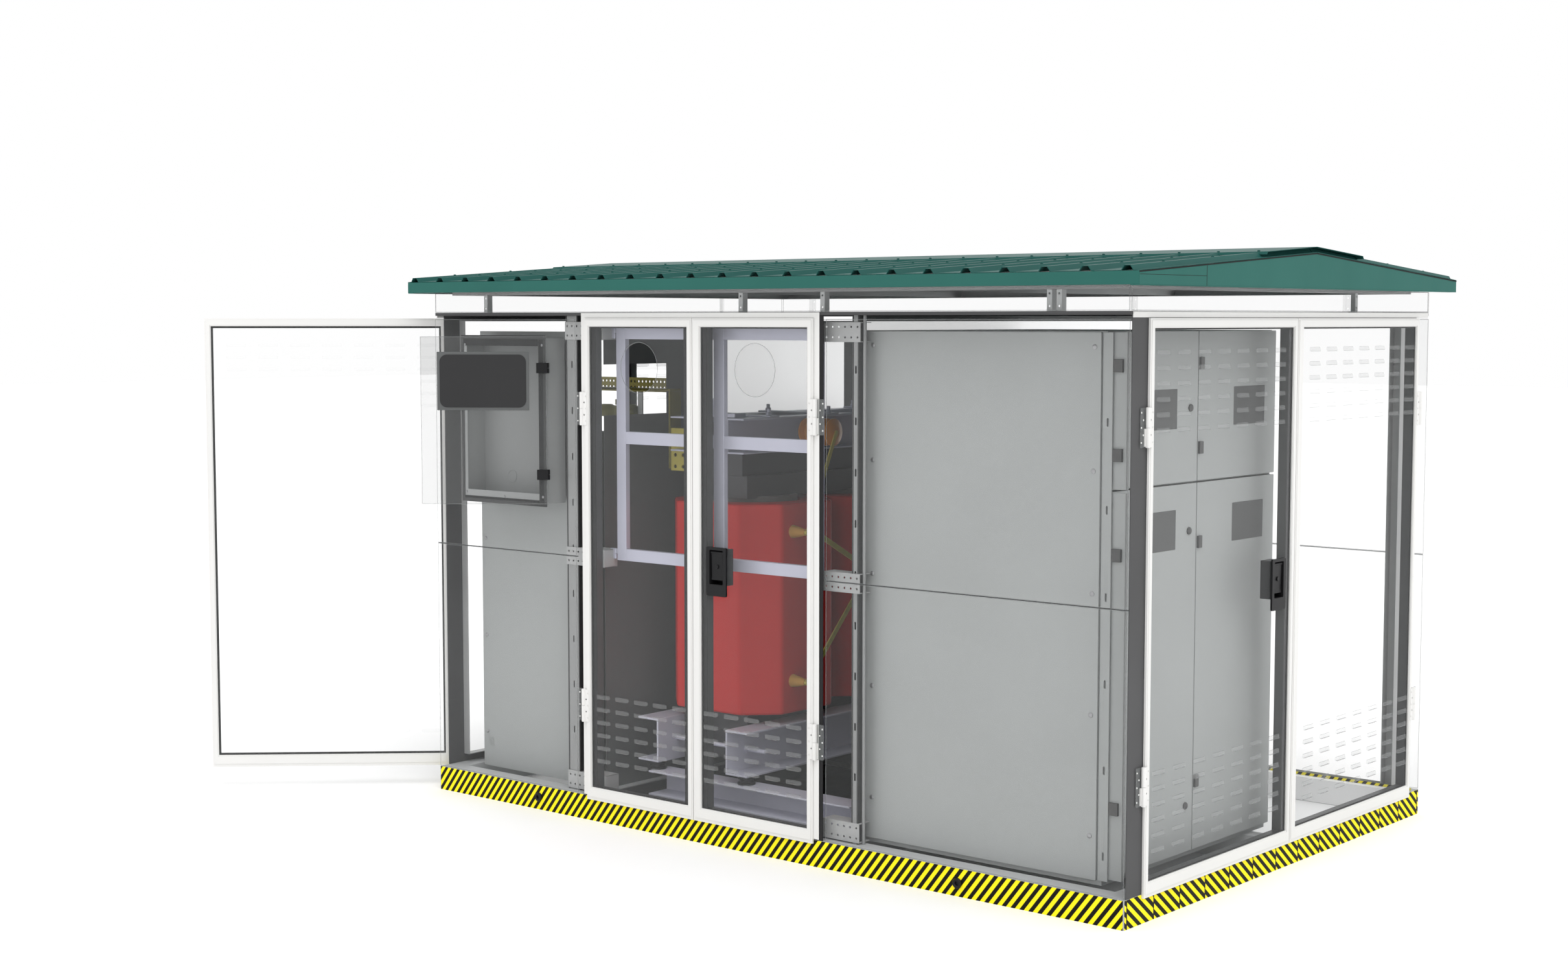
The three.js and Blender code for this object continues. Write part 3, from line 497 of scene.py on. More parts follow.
def fixed_hinges(name, place, side):
    """Clear plates with bright rivets, and the lower barrels and pins that stay on the jamb."""
    plates = Shape(place)
    hinge_plate(plates, -side, 0.034, (-0.0100, -0.0085))
    piece(f"{name}_plates", plates, clear_edge, slot="clear_sheet")
    shape = Shape(place)
    for a, b in plate_points(-side, 0.034):
        shape.rod((a, b), 2, (0.0033, 0.0033, 0.002), (-0.0100, -0.0078, -0.0070), 12)
    for z in HINGE_Z:
        low = z - HINGE_HALF
        radii = (0.006, 0.0085, 0.009, 0.009, 0.0085, 0.005, 0.005)
        stations = (low, low, low + 0.003, z - 0.004, z - 0.001, z - 0.001, z + 0.004)
        shape.rod((0, 0), 1, radii, stations)
        a0, a1 = spread(-side, 0.0045, 0.012)
        shape.box(a0, a1, low + 0.004, z - 0.004, -0.010, -0.004)
    piece(name, shape, door_white, slot="door_paint")


def profile(name, place, edges, head, replaced, paint, lip_paint):
    """A door frame bent from sheet: face plates between the openings, with deep lips round them.

    edges alternates plate and opening along a: plate start, opening start, opening end, ...
    """
    skin, lip = 0.004, 0.040
    openings = list(zip(edges[1:-1:2], edges[2:-1:2]))
    holes = [rectangle(a0, a1, DOOR_SILL, head) for a0, a1 in openings]
    face = Shape(place).sheet(rectangle(edges[0], edges[-1], POST_LOW, RAIL_LIP), holes, -skin, 0.0)
    piece(name, face, paint, replaces=replaced, slot="frame_paint", bevel=0.001)
    lips = Shape(place)
    for a0, a1 in openings:
        opening = (a0, a1, DOOR_SILL, head)
        lips.ring(inset(opening, -skin), opening, -lip, -skin)
    piece(f"{name}_lips", lips, lip_paint, slot="frame_paint", bevel=0.001)


def make_frames():
    low, high = POST_LOW, RAIL_LIP
    profile("front_portal", FRONT, (-0.868, -0.790, -0.285, -0.161, 0.372, 0.443), DOOR_HEAD,
            ["front_frame"], post_dark, lip_dark)

    ladder, flanges = Shape(FRONT), Shape(FRONT)
    for a0, a1 in ((-1.012, -0.941), (0.548, 0.580)):
        middle = (a0 + a1) / 2
        slots = [rounded(middle - 0.004, middle + 0.004, b, b + 0.030, 0.0039)
                 for b in [low + 0.05 + 0.196 * i for i in range(10)]]
        ladder.sheet(rectangle(a0 + 0.006, a1 - 0.006, low, high), slots, -0.051, -0.048)
        flanges.box(a0, a0 + 0.006, low, high, -0.079, -0.0465)
        flanges.box(a1 - 0.006, a1, low, high, -0.079, -0.0465)
    for a in (-0.925, 0.5935):
        ladder.rod((a, -0.066), 1, (0.007, 0.007), (low, high), 20)
    # The flanges take the darker lip paint: painted shade on the channels' sides.
    piece("upright_flanges", flanges, lip_dark, slot="frame_paint", bevel=0.0008)
    piece("slotted_uprights", ladder, upright_grey, slot="frame_paint", bevel=0.0008)

    joints = Shape(FRONT)
    for b in (0.150, 1.118, 2.078):
        joints.box(-0.788, -0.785, b - 0.038, b + 0.038, -0.122, -0.045)
        for a0, a1, back in ((-1.012, -0.785, -0.122), (0.410, 0.590, -0.110)):
            columns = round((a1 - a0 - 0.028) / 0.028)
            step = (a1 - a0 - 0.028) / columns
            holes = [circle(a0 + 0.014 + step * i, b + lift, 0.0042, 12)
                     for i in range(columns + 1) for lift in (-0.020, 0.020)]
            joints.sheet(rectangle(a0, a1, b - 0.038, b + 0.038), holes, -0.045, -0.042)
            joints.box(a0, a1, b + 0.035, b + 0.038, back, -0.045)
            joints.box(a0, a1, b - 0.038, b - 0.035, back, -0.045)
    piece("joint_channels", joints, post_mid, slot="frame_paint", bevel=0.0008)

    ends = (("right", RIGHT, (-1.187, 1.078), DOOR_HEAD, lip_dark, (1.0785, 1.187)),
            ("left", LEFT, (-1.078, 1.150), LEFT_HEAD, lip_pale, (-1.187, -1.0785)))
    for side, place, (first, last), head, lip_paint, far in ends:
        profile(f"{side}_portal", place, (first, -1.056, -0.050, 0.050, 1.056, last), head,
                [f"{side}_end_frame"], end_dark, lip_paint)
        ghost = Shape(place).box(*far, low, high, -0.004, 0.0)
        piece(f"{side}_far_jamb", ghost, ghost_grey, slot="frame_paint")
        band = Shape(place)
        band.box(-1.187, 1.187, LEAF_TOP + 0.002, RAIL_TOP - 0.001, -0.0003, 0.003)
        band.box(-1.187, 1.187, RAIL_TOP - 0.006, RAIL_TOP - 0.002, 0.003, 0.0045)
        piece(f"{side}_head_band", band, door_white, slot="door_paint", bevel=0.0008)
    rear = Shape(REAR)
    rear.sheet(rectangle(-1.700, 1.700, low, 0.118), [], -0.009, -0.006)
    for a0, a1 in ((-1.700, -1.648), (-0.485, -0.425), (0.850, 0.910), (1.648, 1.700)):
        rear.boxes((a0, a1, 0.118, high, -0.009, -0.006),
                   (a0, a0 + 0.003, low, high, -0.050, -0.009),
                   (a1 - 0.003, a1, low, high, -0.050, -0.009))
    piece("rear_posts", rear, post_mid, replaces=["rear_frame"], bevel=0.0008)

    hinge_sets = (
        ("front_left", FRONT, -0.857, 1), ("front_right", FRONT, 0.414, -1),
        ("right_near", RIGHT, -1.100, 1), ("right_far", RIGHT, 1.100, -1),
        ("left_near", LEFT, 1.100, -1), ("left_far", LEFT, -1.100, 1))
    for name, place, a, side in hinge_sets:
        at = place @ Matrix.Translation((a, 0, AXIS_OUT))
        fixed_hinges(f"{name}_fixed_hinges", at, side)

    rail = Shape()
    outline = (-HALF_L + 0.001, HALF_L - 0.001, -HALF_W + 0.001, HALF_W - 0.001)
    rail.ring(outline, inset(outline, 0.054), RAIL_LIP, RAIL_LIP + 0.003)
    rail.ring(outline, inset(outline, 0.003), RAIL_LIP + 0.003, RAIL_TOP)
    piece("angle_rail", rail, end_dark, replaces=["top_rail"], bevel=0.0008)
    trim = Shape(FRONT).ring((-0.868, 0.426, LEAF_LOW + 0.018, RAIL_TOP - 0.002),
              (-0.8435, 0.4005, LEAF_LOW + 0.020, LEAF_TOP + 0.0005), 0.0004, 0.0036)
    piece("front_door_surround", trim, door_white, slot="door_paint", bevel=0.0008)


# ---- roof
def make_roof():
    for node in ("front_roof_sheet", "rear_roof_sheet"):
        dress(node, roof_green)
    make_roof_frame()
    for side, place in (("front", FRONT), ("rear", REAR)):
        out = ROOF_Y - HALF_W
        lip = 0.044
        fascia = Shape(place)
        outline = [(EAVE_LOW, out), (EAVE_TOP, out), (EAVE_TOP, out - 0.003),
                   (EAVE_LOW + 0.003, out - 0.003), (EAVE_LOW + 0.003, out - lip),
                   (EAVE_LOW, out - lip)]
        fascia.prism(outline, 0, -ROOF_X + 0.0033, ROOF_X - 0.0033)
        piece(f"{side}_eave_fascia", fascia, fascia_green, replaces=[f"{side}_fascia"], bevel=0.0012)
    for side, place in (("right", RIGHT), ("left", LEFT)):
        out = ROOF_X - HALF_L - 0.0015
        plate = Shape(place)
        outline = [(-ROOF_Y, EAVE_LOW), (ROOF_Y, EAVE_LOW), (ROOF_Y, EAVE_TOP), (0, RIDGE_TOP),
                   (-ROOF_Y, EAVE_TOP)]
        plate.prism(outline, 2, out - 0.003, out)
        piece(f"{side}_gable_plate", plate, fascia_green, replaces=[f"{side}_gable"], bevel=0.001)
        wraps, seams = Shape(place), Shape(place)
        front = -1 if side == "right" else 1
        near, far = front * ROOF_Y, front * (ROOF_Y - WRAP_W)
        rise = ROOF_FALL * WRAP_W
        wraps.prism([(near, EAVE_LOW), (far, EAVE_LOW), (far, EAVE_TOP + rise - 0.006),
                     (near, EAVE_TOP - 0.006)], 2, out, out + 0.0011)
        s0, s1 = spread(front, ROOF_Y - WRAP_W - 0.0035, ROOF_Y - WRAP_W - 0.0005)
        seams.box(s0, s1, EAVE_LOW, EAVE_TOP + rise - 0.006, out, out + 0.0011)
        s0, s1 = spread(front, ROOF_Y - WRAP_W, ROOF_Y - 0.002)
        seams.box(s0, s1, EAVE_TOP - 0.0125, EAVE_TOP - 0.011, out + 0.0011, out + 0.0013)
        # The sloped black strips along the gable's top are painted shade, for the gap under the roof sheets;
        # the strips above mark the wrap's edge and fold.
        for sign in (-1, 1):
            seams.prism([(sign * ROOF_Y, EAVE_TOP - 0.001), (sign * ROOF_Y, EAVE_TOP - 0.005),
                         (0, RIDGE_TOP - 0.005), (0, RIDGE_TOP - 0.001)], 2, out, out + 0.0011)
        piece(f"{side}_gable_seam_and_shade_lines", seams, gasket_black, slot="roof_paint")
        wraps.prism([(-ROOF_Y, EAVE_LOW), (-ROOF_Y, EAVE_LOW - 0.003), (ROOF_Y, EAVE_LOW - 0.003),
                     (ROOF_Y, EAVE_LOW)], 2, out - 0.035, out)
        piece(f"{side}_corner_wraps", wraps, fascia_green, slot="roof_paint")

    # Closing plate under the overhang, painted near-black: painted shade beneath the roof.
    soffit = Shape().ring(inset((-ROOF_X, ROOF_X, -ROOF_Y, ROOF_Y), 0.008),
                inset((-HALF_L, HALF_L, -HALF_W, HALF_W), 0.004), EAVE_LOW + 0.0035, EAVE_LOW + 0.005)
    piece("eave_soffit", soffit, soffit_painted_shade, slot="roof_paint")

    cap = Shape()
    top = span("ridge_cap", "z")[1]
    half = span("ridge_cap", "y")[1]
    side_top = top - half * ROOF_FALL
    fold = [(half, side_top - 0.002), (half + 0.006, side_top - 0.012),
            (half + 0.008, side_top - 0.011), (half, side_top)]
    mirrored = [(-y, z) for y, z in reversed(fold)]
    outline = [(0.0, top - 0.002), *fold, (0.0, top), *mirrored]
    cap.prism(outline, 0, -ROOF_X + 0.0002, ROOF_X - 0.0002)
    piece("folded_ridge_cap", cap, roof_green, replaces=["ridge_cap"])
    screws = Shape()
    for i in range(RIB_COUNT):
        x = (i - (RIB_COUNT - 1) / 2) * RIB_PITCH
        for y in (0.37, 0.71, 1.05):
            z = RIDGE_TOP - ROOF_FALL * y + 0.0205 + (0.004 if y < half else 0.0)
            screws.rods(((x, -y), (x, y)), 2, (0.0055, 0.0055, 0.004), (z - 0.001, z + 0.0015, z + 0.003), 10)
    piece("roof_screws", screws, roof_green, slot="roof_paint")


def make_roof_frame():
    """Folded ring, rafters and ridge beam on thin drilled brackets."""
    (x0, x1), (y0, y1) = span("roof_frame", "x"), span("roof_frame", "y")
    low, deep, wide, skin = 2.232, 0.040, 0.050, 0.003
    frame_shape = Shape()
    outer = (x0, x1, y0, y1)
    inner = inset(outer, wide)
    frame_shape.ring(outer, inner, low, low + skin)
    frame_shape.ring(outer, inset(outer, skin), low + skin, low + deep - skin)
    frame_shape.ring(outer, inner, low + deep - skin, low + deep)
    peak = span("roof_frame", "z")[1]
    fall = (peak - low - deep) / y1       # slope of the rafters
    for x in (-1.715, -0.600, 0.600, 1.715):
        outline = [(y0 + 0.004, low + 0.004), (y1 - 0.004, low + 0.004),
                   (y1 - 0.004, low + deep), (0.0, peak - 0.001), (y0 + 0.004, low + deep)]
        frame_shape.prism(outline, 0, x - 0.0015, x + 0.0015)
    frame_shape.box(x0, x1, -0.025, 0.025, peak - 0.030, peak - 0.026 * fall - 0.001)
    piece("roof_ring", frame_shape, post_mid, replaces=["roof_frame"], bevel=0.0008)

    brackets = ((FRONT, (-1.532, -0.032, 0.388, 1.427, 1.468)), (REAR, (-1.46, -0.40, 0.05, 1.53)),
                (RIGHT, (0.642,)), (LEFT, (-0.642,)))
    for number, (place, spots) in enumerate(brackets):
        legs = Shape(place)
        foot, top = RAIL_TOP + 0.0003, low
        for a in spots:
            holes = [circle(a, b, 0.004, 12) for b in (foot + 0.018, top - 0.014)]
            legs.sheet(rectangle(a - 0.011, a + 0.011, foot, top), holes, -0.0645, -0.062)
            legs.box(a + 0.0085, a + 0.011, foot, top, -0.092, -0.0645)
            legs.box(a - 0.011, a + 0.0085, foot, foot + 0.0025, -0.092, -0.0645)
        paint = rail_light if place in (FRONT, RIGHT) else ghost_grey
        piece(f"eave_brackets_{number}", legs, paint, slot="frame_paint", bevel=0.0006)


# ---- clear walls
def clear_sheet(name, place, a, b, c, node, holes=()):
    """A clear panel, with a darker line round its edge where the sheet is folded."""
    pane = Shape(place).sheet(rectangle(*a, *b), holes, c, c + 0.0025)
    piece(name, pane, clear_wall, replaces=[node] if node else (), slot="clear_sheet")
    line = 0.0035
    edge = Shape(place)
    edge.ring((*a, *b), inset((*a, *b), line), c + 0.0025, c + 0.0032)
    for (a0, b0), _, (a1, b1), _ in holes:
        edge.ring(inset((a0, a1, b0, b1), -line), (a0, a1, b0, b1), c + 0.0025, c + 0.0032)
    piece(f"{name}_edge", edge, clear_edge, slot="clear_sheet")


def make_walls():
    meter_cut = [rectangle(-1.612, -1.093, 1.334, 2.048)]
    split = span("front_left_lower_panel", "z")[1]
    left, right = (-HALF_L + 0.001, -0.907), (0.457, HALF_L - 0.001)
    whole = (-HALF_L + 0.001, HALF_L - 0.001)
    inner = -0.003
    for part, place, reach in (("front_left", FRONT, left), ("front_right", FRONT, right),
                               ("rear", REAR, whole)):
        for level in ("upper", "lower"):
            node = f"{part}_{level}_panel"
            holes = meter_cut if node == "front_left_upper_panel" else ()
            clear_sheet(f"wall_{part}_{level}", place, reach, span(node, "z"), inner, node, holes)
    frieze = (RAIL_TOP + 0.001, EAVE_LOW - 0.002)
    for side, place, half in (("front", FRONT, HALF_L), ("rear", REAR, HALF_L),
                              ("right", RIGHT, HALF_W), ("left", LEFT, HALF_W)):
        clear_sheet(f"frieze_{side}", place, (-half + 0.004, half - 0.004), frieze, inner, None)

    seam = Shape(FRONT)
    for a0, a1 in (left, right):
        seam.box(a0, a1, split - 0.0005, split + 0.0025, -0.010, -0.003)
    piece("front_panel_seams", seam, post_dark, slot="frame_paint")
    back = Shape(REAR).box(*whole, split - 0.0005, split + 0.0025, -0.006, -0.003)
    piece("rear_panel_seam", back, post_mid, slot="frame_paint")


# ---- outdoor door leaves
def louvres(shape, lips, columns, rows, width, c):
    """Pressed hoods with closed tapered ends, and the folded lip along each hood's mouth."""
    high, out, taper = 0.014, 0.007, 0.009
    for a in columns:
        for b in rows:
            shape.loft([
                [(a, b, c), (a + width, b, c), (a + width, b + high, c), (a, b + high, c)],
                [(a + taper, b, c + out), (a + width - taper, b, c + out),
                 (a + width - taper, b + high * 0.35, c + out), (a + taper, b + high * 0.35, c + out)],
            ])
            lips.box(a + taper, a + width - taper, b - 0.0012, b, c + 0.0005, c + out)
            lips.box(a + taper * 0.5, a + width - taper * 0.5, b + high, b + high + 0.001, c,
                     c + 0.0015)


def make_leaf(name, side, width, origin, turn, laps=False, fan=None, latch=False, vents=()):
    """One outdoor leaf in its own wall coordinates, with the hinge axis at a = 0, c = 0."""
    body = f"{name}_leaf"
    place = wall(origin, turn)
    meet = LEAF_MEET if laps else LEAF_SIDE
    a0, a1 = spread(side, AXIS_TO_LEAF, AXIS_TO_LEAF + width)
    hinge_side, free_side = (LEAF_SIDE, meet) if side > 0 else (meet, LEAF_SIDE)
    i0, i1 = a0 + hinge_side, a1 - free_side
    j0, j1 = LEAF_LOW + LEAF_FOOT, LEAF_TOP - LEAF_HEAD

    outer = Shape(place)
    outer.ring((a0, a1, LEAF_LOW, LEAF_TOP), (i0, i1, j0, j1), -LEAF_THICK, -0.003)
    lip = 0.007
    outer.ring((a0 + lip, a1 - lip, LEAF_LOW + lip * 2, LEAF_TOP - lip),
               (i0 - 0.004, i1 + 0.004, j0 - 0.006, j1 + 0.004), -0.003, 0.0)
    hinge_plate(outer, side, 0.028, (0.0002, 0.0018))
    for z in HINGE_Z:
        top = z + HINGE_HALF
        radii = (0.009, 0.009, 0.0085, 0.006)
        outer.rod((0, 0), 1, radii, (z, top - 0.004, top - 0.001, top))
        b0, b1 = spread(side, 0.0045, 0.012)
        outer.box(b0, b1, z + 0.003, top - 0.004, 0.0, 0.003)
    piece(f"{name}_pressed_frame", outer, door_white, body, [f"{name}_leaf_frame"], bevel=0.0012)

    seal = Shape(place)
    line = 0.009 if name == "left_near" else 0.005
    seal.ring(inset((i0, i1, j0, j1), -0.002), inset((i0, i1, j0, j1), line), -0.0125, -0.0088)
    piece(f"{name}_seal", seal, gasket_black, body, slot="latch_black")

    holes = []
    edge = AXIS_TO_LEAF + width - 0.078
    cup = spread(side, edge - 0.090, edge - 0.018)
    if latch:
        holes.append(rectangle(cup[0] - 0.005, cup[1] + 0.005, 1.063, 1.211))
    if fan:
        holes.append(circle(side * fan, 1.928, 0.103, 48))
        holes += [circle(side * fan + 0.092 * sa, 1.928 + 0.092 * sb, 0.004, 10)
                  for sa in (-1, 1) for sb in (-1, 1)]
    pane = Shape(place).sheet(rectangle(i0, i1, j0, j1), holes, -0.0085, -0.0040)
    piece(f"{name}_clear_pane", pane, clear_pane, body, [f"{name}_leaf_pane"])
    if fan:
        collar = Shape(place)
        collar.sheet(circle(side * fan, 1.928, 0.106, 48), [circle(side * fan, 1.928, 0.103, 48)],
                     -0.0042, -0.0030)
        piece(f"{name}_fan_rim", collar, clear_edge, body, slot="clear_sheet")

    hoods, lips = Shape(place), Shape(place)
    for columns, rows, wide in vents:
        louvres(hoods, lips, columns, rows, wide, -0.0042)
    hood_paint, lip_paint = louvre_clear, louvre_lip
    if name == "left_near":
        hood_paint = lip_paint = louvre_faint
    piece(f"{name}_louvres", hoods, hood_paint, body, slot="clear_sheet", bevel=0.0012)
    piece(f"{name}_louvre_lips", lips, lip_paint, body, slot="clear_sheet")
    if latch:
        make_latch(name, place, spread(side, edge - 0.107, edge), cup)


def make_latch(name, place, bezel, cup):
    shape = Shape(place)
    low, high = LATCH_Z
    shape.sheet(rounded(*bezel, low, high, 0.006),
                [rounded(*cup, 1.068, 1.206, 0.004)], -0.0034, 0.0040)
    back = -0.054
    shape.ring((cup[0] - 0.004, cup[1] + 0.004, 1.064, 1.210), (*cup, 1.068, 1.206), back, -0.0034)
    shape.box(cup[0] - 0.004, cup[1] + 0.004, 1.064, 1.210, back - 0.0005, back + 0.004)
    piece(f"{name}_pan", shape, black_plastic, f"{name}_leaf", [f"{name}_latch_pan"], bevel=0.0012)
    lever = Shape(place)
    middle = sum(cup) / 2
    blade = [(-0.002, 1.196), (-0.010, 1.200), (-0.010, 1.092), (-0.0075, 1.084), (-0.002, 1.086),
             (-0.004, 1.100)]
    lever.loft([[(a, b, c) for c, b in blade] for a in (cup[0] + 0.006, cup[1] - 0.006)])
    lever.rod((1.196, -0.006), 0, (0.006, 0.006), (cup[0] + 0.003, cup[1] - 0.003), 20)
    lever.rod((middle, 1.140), 2, (0.009, 0.009, 0.0075), (-0.003, 0.0005, 0.0015), 24)
    piece(f"{name}_lever", lever, black_plastic, f"{name}_lever", [f"{name}_latch_lever"], bevel=0.0008)


def make_leaves():
    front = -HALF_W - AXIS_OUT
    end = HALF_L + AXIS_OUT
    quarter = math.pi / 2
    rows = [0.259 + 0.0546 * i for i in range(6)]
    left_columns = [0.074 + 0.109 * i for i in range(5)]
    right_columns = [-0.414 - 0.172 + 0.109 * i for i in range(5)]
    end_rows = [([0.246 + 0.0554 * i for i in range(6)]), ([1.732 + 0.0544 * i for i in range(6)])]
    near_columns = [1.100 - 1.039 + 0.142 * i for i in range(7)]
    mirrored = [-(a + 0.090) for a in near_columns]
    near = [(near_columns, r, 0.090) for r in end_rows]
    far = [(mirrored, r, 0.090) for r in end_rows]
    make_leaf("front_left", 1, 0.613, (-0.857, front, 0), 0.0, fan=0.332,
              vents=[(left_columns, rows, 0.080)])
    make_leaf("front_right", -1, 0.627, (0.414, front, 0), 0.0, laps=True, fan=0.309, latch=True,
              vents=[(right_columns, rows, 0.080)])
    make_leaf("right_near", 1, 1.084, (end, -1.1, 0), quarter, latch=True, vents=near)
    make_leaf("right_far", -1, 1.084, (end, 1.1, 0), quarter, laps=True, vents=far)
    make_leaf("left_near", -1, 1.084, (-end, -1.1, 0), OPEN_REST - quarter, vents=far)
    make_leaf("left_far", 1, 1.084, (-end, 1.1, 0), -quarter, laps=True, latch=True, vents=near)


# ---- safety gate
def make_gate():
    place = Matrix.Translation((-0.772, -1.100, 0))
    tube = 0.0125
    rails = ((1.112, 1.162), (1.605, 1.657), (2.044, 2.093))
    stiles = ((0.020, 0.073), (0.570, 0.626), (1.082, 1.132))
    shape = Shape(place)
    for low, high in stiles:
        shape.box(low, high, -tube, tube, 1.112, 2.093)
    for low, high in rails:
        for (_, start), (end, _) in zip(stiles, stiles[1:]):
            shape.box(start, end, -tube, tube, low, high)
    for z in GATE_HINGES:
        shape.rod((0, 0), 2, (0.0055, 0.006, 0.006, 0.0055), (z, z + 0.002, z + 0.020, z + 0.022))
        shape.box(0.002, 0.021, -0.002, 0.002, z, z + 0.022)
    piece("gate_tubes", shape, gate_steel, "gate", ["safety_gate"], bevel=0.003)
    seats = Shape(place)
    for z in GATE_HINGES:
        seats.rod((0, 0), 2, (0.0055, 0.006, 0.006), (z - 0.022, z - 0.020, z - 0.001))
        holes = [circle(-0.024 + 0.008 * (i % 2), z - 0.014 + 0.009 * i, 0.002, 8) for i in range(4)]
        plate = Shape(place @ Matrix.Rotation(math.pi / 2, 4, "X"))
        plate.sheet(rounded(-0.030, -0.002, z - 0.022, z + 0.022, 0.002), holes, -0.002, 0.002)
        piece(f"gate_hinge_plate_{'low' if z < 2 else 'high'}", plate, gate_steel, slot="zinc_steel")
    piece("gate_hinge_seats", seats, gate_steel, slot="zinc_steel")


# ---- meter box
def make_meter():
    (x0, x1), (z0, z1) = (-1.610, -1.095), (1.336, 2.046)
    skin = 0.003
    depth = 0.120
    box = Shape(FRONT)
    whole = (x0, x1, z0, z1)
    box.ring(whole, inset(whole, skin), -depth, 0.002)
    box.box(*inset(whole, skin), -depth, -depth + skin)
    box.ring(whole, (x0 + 0.022, x1 - 0.022, z0 + 0.042, z1 - 0.022), -0.001, 0.002)
    box.rod((-1.43, z0 + 0.10), 2, (0.030, 0.030, 0.024, 0.024),
            (-depth + skin, -depth + 0.005, -depth + 0.005, -depth + 0.0035), 32)
    piece("meter_enclosure", box, pan_grey, replaces=["meter_box"], bevel=0.0008)
    trim = Shape(FRONT).ring(inset(whole, -0.012), inset(whole, 0.004), 0.002, 0.005)
    piece("meter_seal_rim", trim, lip_dark, slot="latch_black", bevel=0.001)
    seal = Shape(FRONT)
    seal.boxes((x0 + 0.004, x1 - 0.036, z1 - 0.034, z1 - 0.004, 0.0021, 0.0040),
               (x1 - 0.034, x1 - 0.004, z0 + 0.004, z1 - 0.004, 0.0021, 0.0040),
               (x0 + 0.004, x1 - 0.036, z0 + 0.004, z0 + 0.014, 0.0021, 0.0040))
    piece("meter_gaskets", seal, black_plastic, slot="latch_black", bevel=0.0008)
    screws = Shape(FRONT)
    spots = [(a, b) for a in (x0 + 0.012, x1 - 0.012) for b in (z0 + 0.03, z1 - 0.03)]
    spots.append(((x0 + x1) / 2, z0 + 0.02))
    screws.rods(spots, 2, (0.006, 0.006, 0.004), (0.002, 0.004, 0.006), 20)
    piece("meter_rim_screws", screws, bolt_steel, slot="zinc_steel")
    seats = Shape(wall((*METER_AXIS, 0)))
    for z in METER_HINGES:
        seats.rod((0, 0), 1, (0.005, 0.005), (z - 0.022, z - 0.001))
        seats.box(-0.060, -0.004, z - 0.022, z - 0.001, -0.010, -0.004)
    piece("meter_hinge_seats", seats, black_plastic, slot="latch_black", bevel=0.001)

    hang = wall((*METER_AXIS, 0), METER_REST)
    wide = 0.548
    low, high = z0 + 0.002, z1 + 0.008
    lid = Shape(hang).sheet(rounded(-wide, -0.007, low, high, 0.004), [], -0.003, 0.002)
    piece("meter_lid_pane", lid, clear_door, "meter_lid", ["meter_door"])
    line = 0.003
    lid_box = (-wide, -0.007, low, high)
    rim = Shape(hang).ring(lid_box, inset(lid_box, line), 0.002, 0.0026)
    piece("meter_lid_edge", rim, clear_edge, "meter_lid", slot="clear_sheet")
    w0, w1 = -wide * 0.87, -wide * 0.15
    v0, v1 = 1.740, 1.989
    window = Shape(hang).sheet(rectangle(w0, w1, v0, v1), [], 0.002, 0.0045)
    piece("meter_window_frame", window, panel_dark, "meter_lid", slot="latch_black", bevel=0.001)
    glass = Shape(hang).sheet(rounded(*inset((w0, w1, v0, v1), 0.012), 0.032, 8), [], 0.0045, 0.0065)
    piece("meter_window_pane", glass, dark_window, "meter_lid", slot="latch_black", bevel=0.0008)
    hinge = Shape(hang)
    for z in METER_HINGES:
        hinge.rod((0, 0), 1, (0.005, 0.005), (z, z + 0.022))
        hinge.box(-0.050, -0.002, z - 0.022, z + 0.022, 0.002, 0.010)
    piece("meter_lid_hinges", hinge, black_plastic, "meter_lid", slot="latch_black", bevel=0.0015)


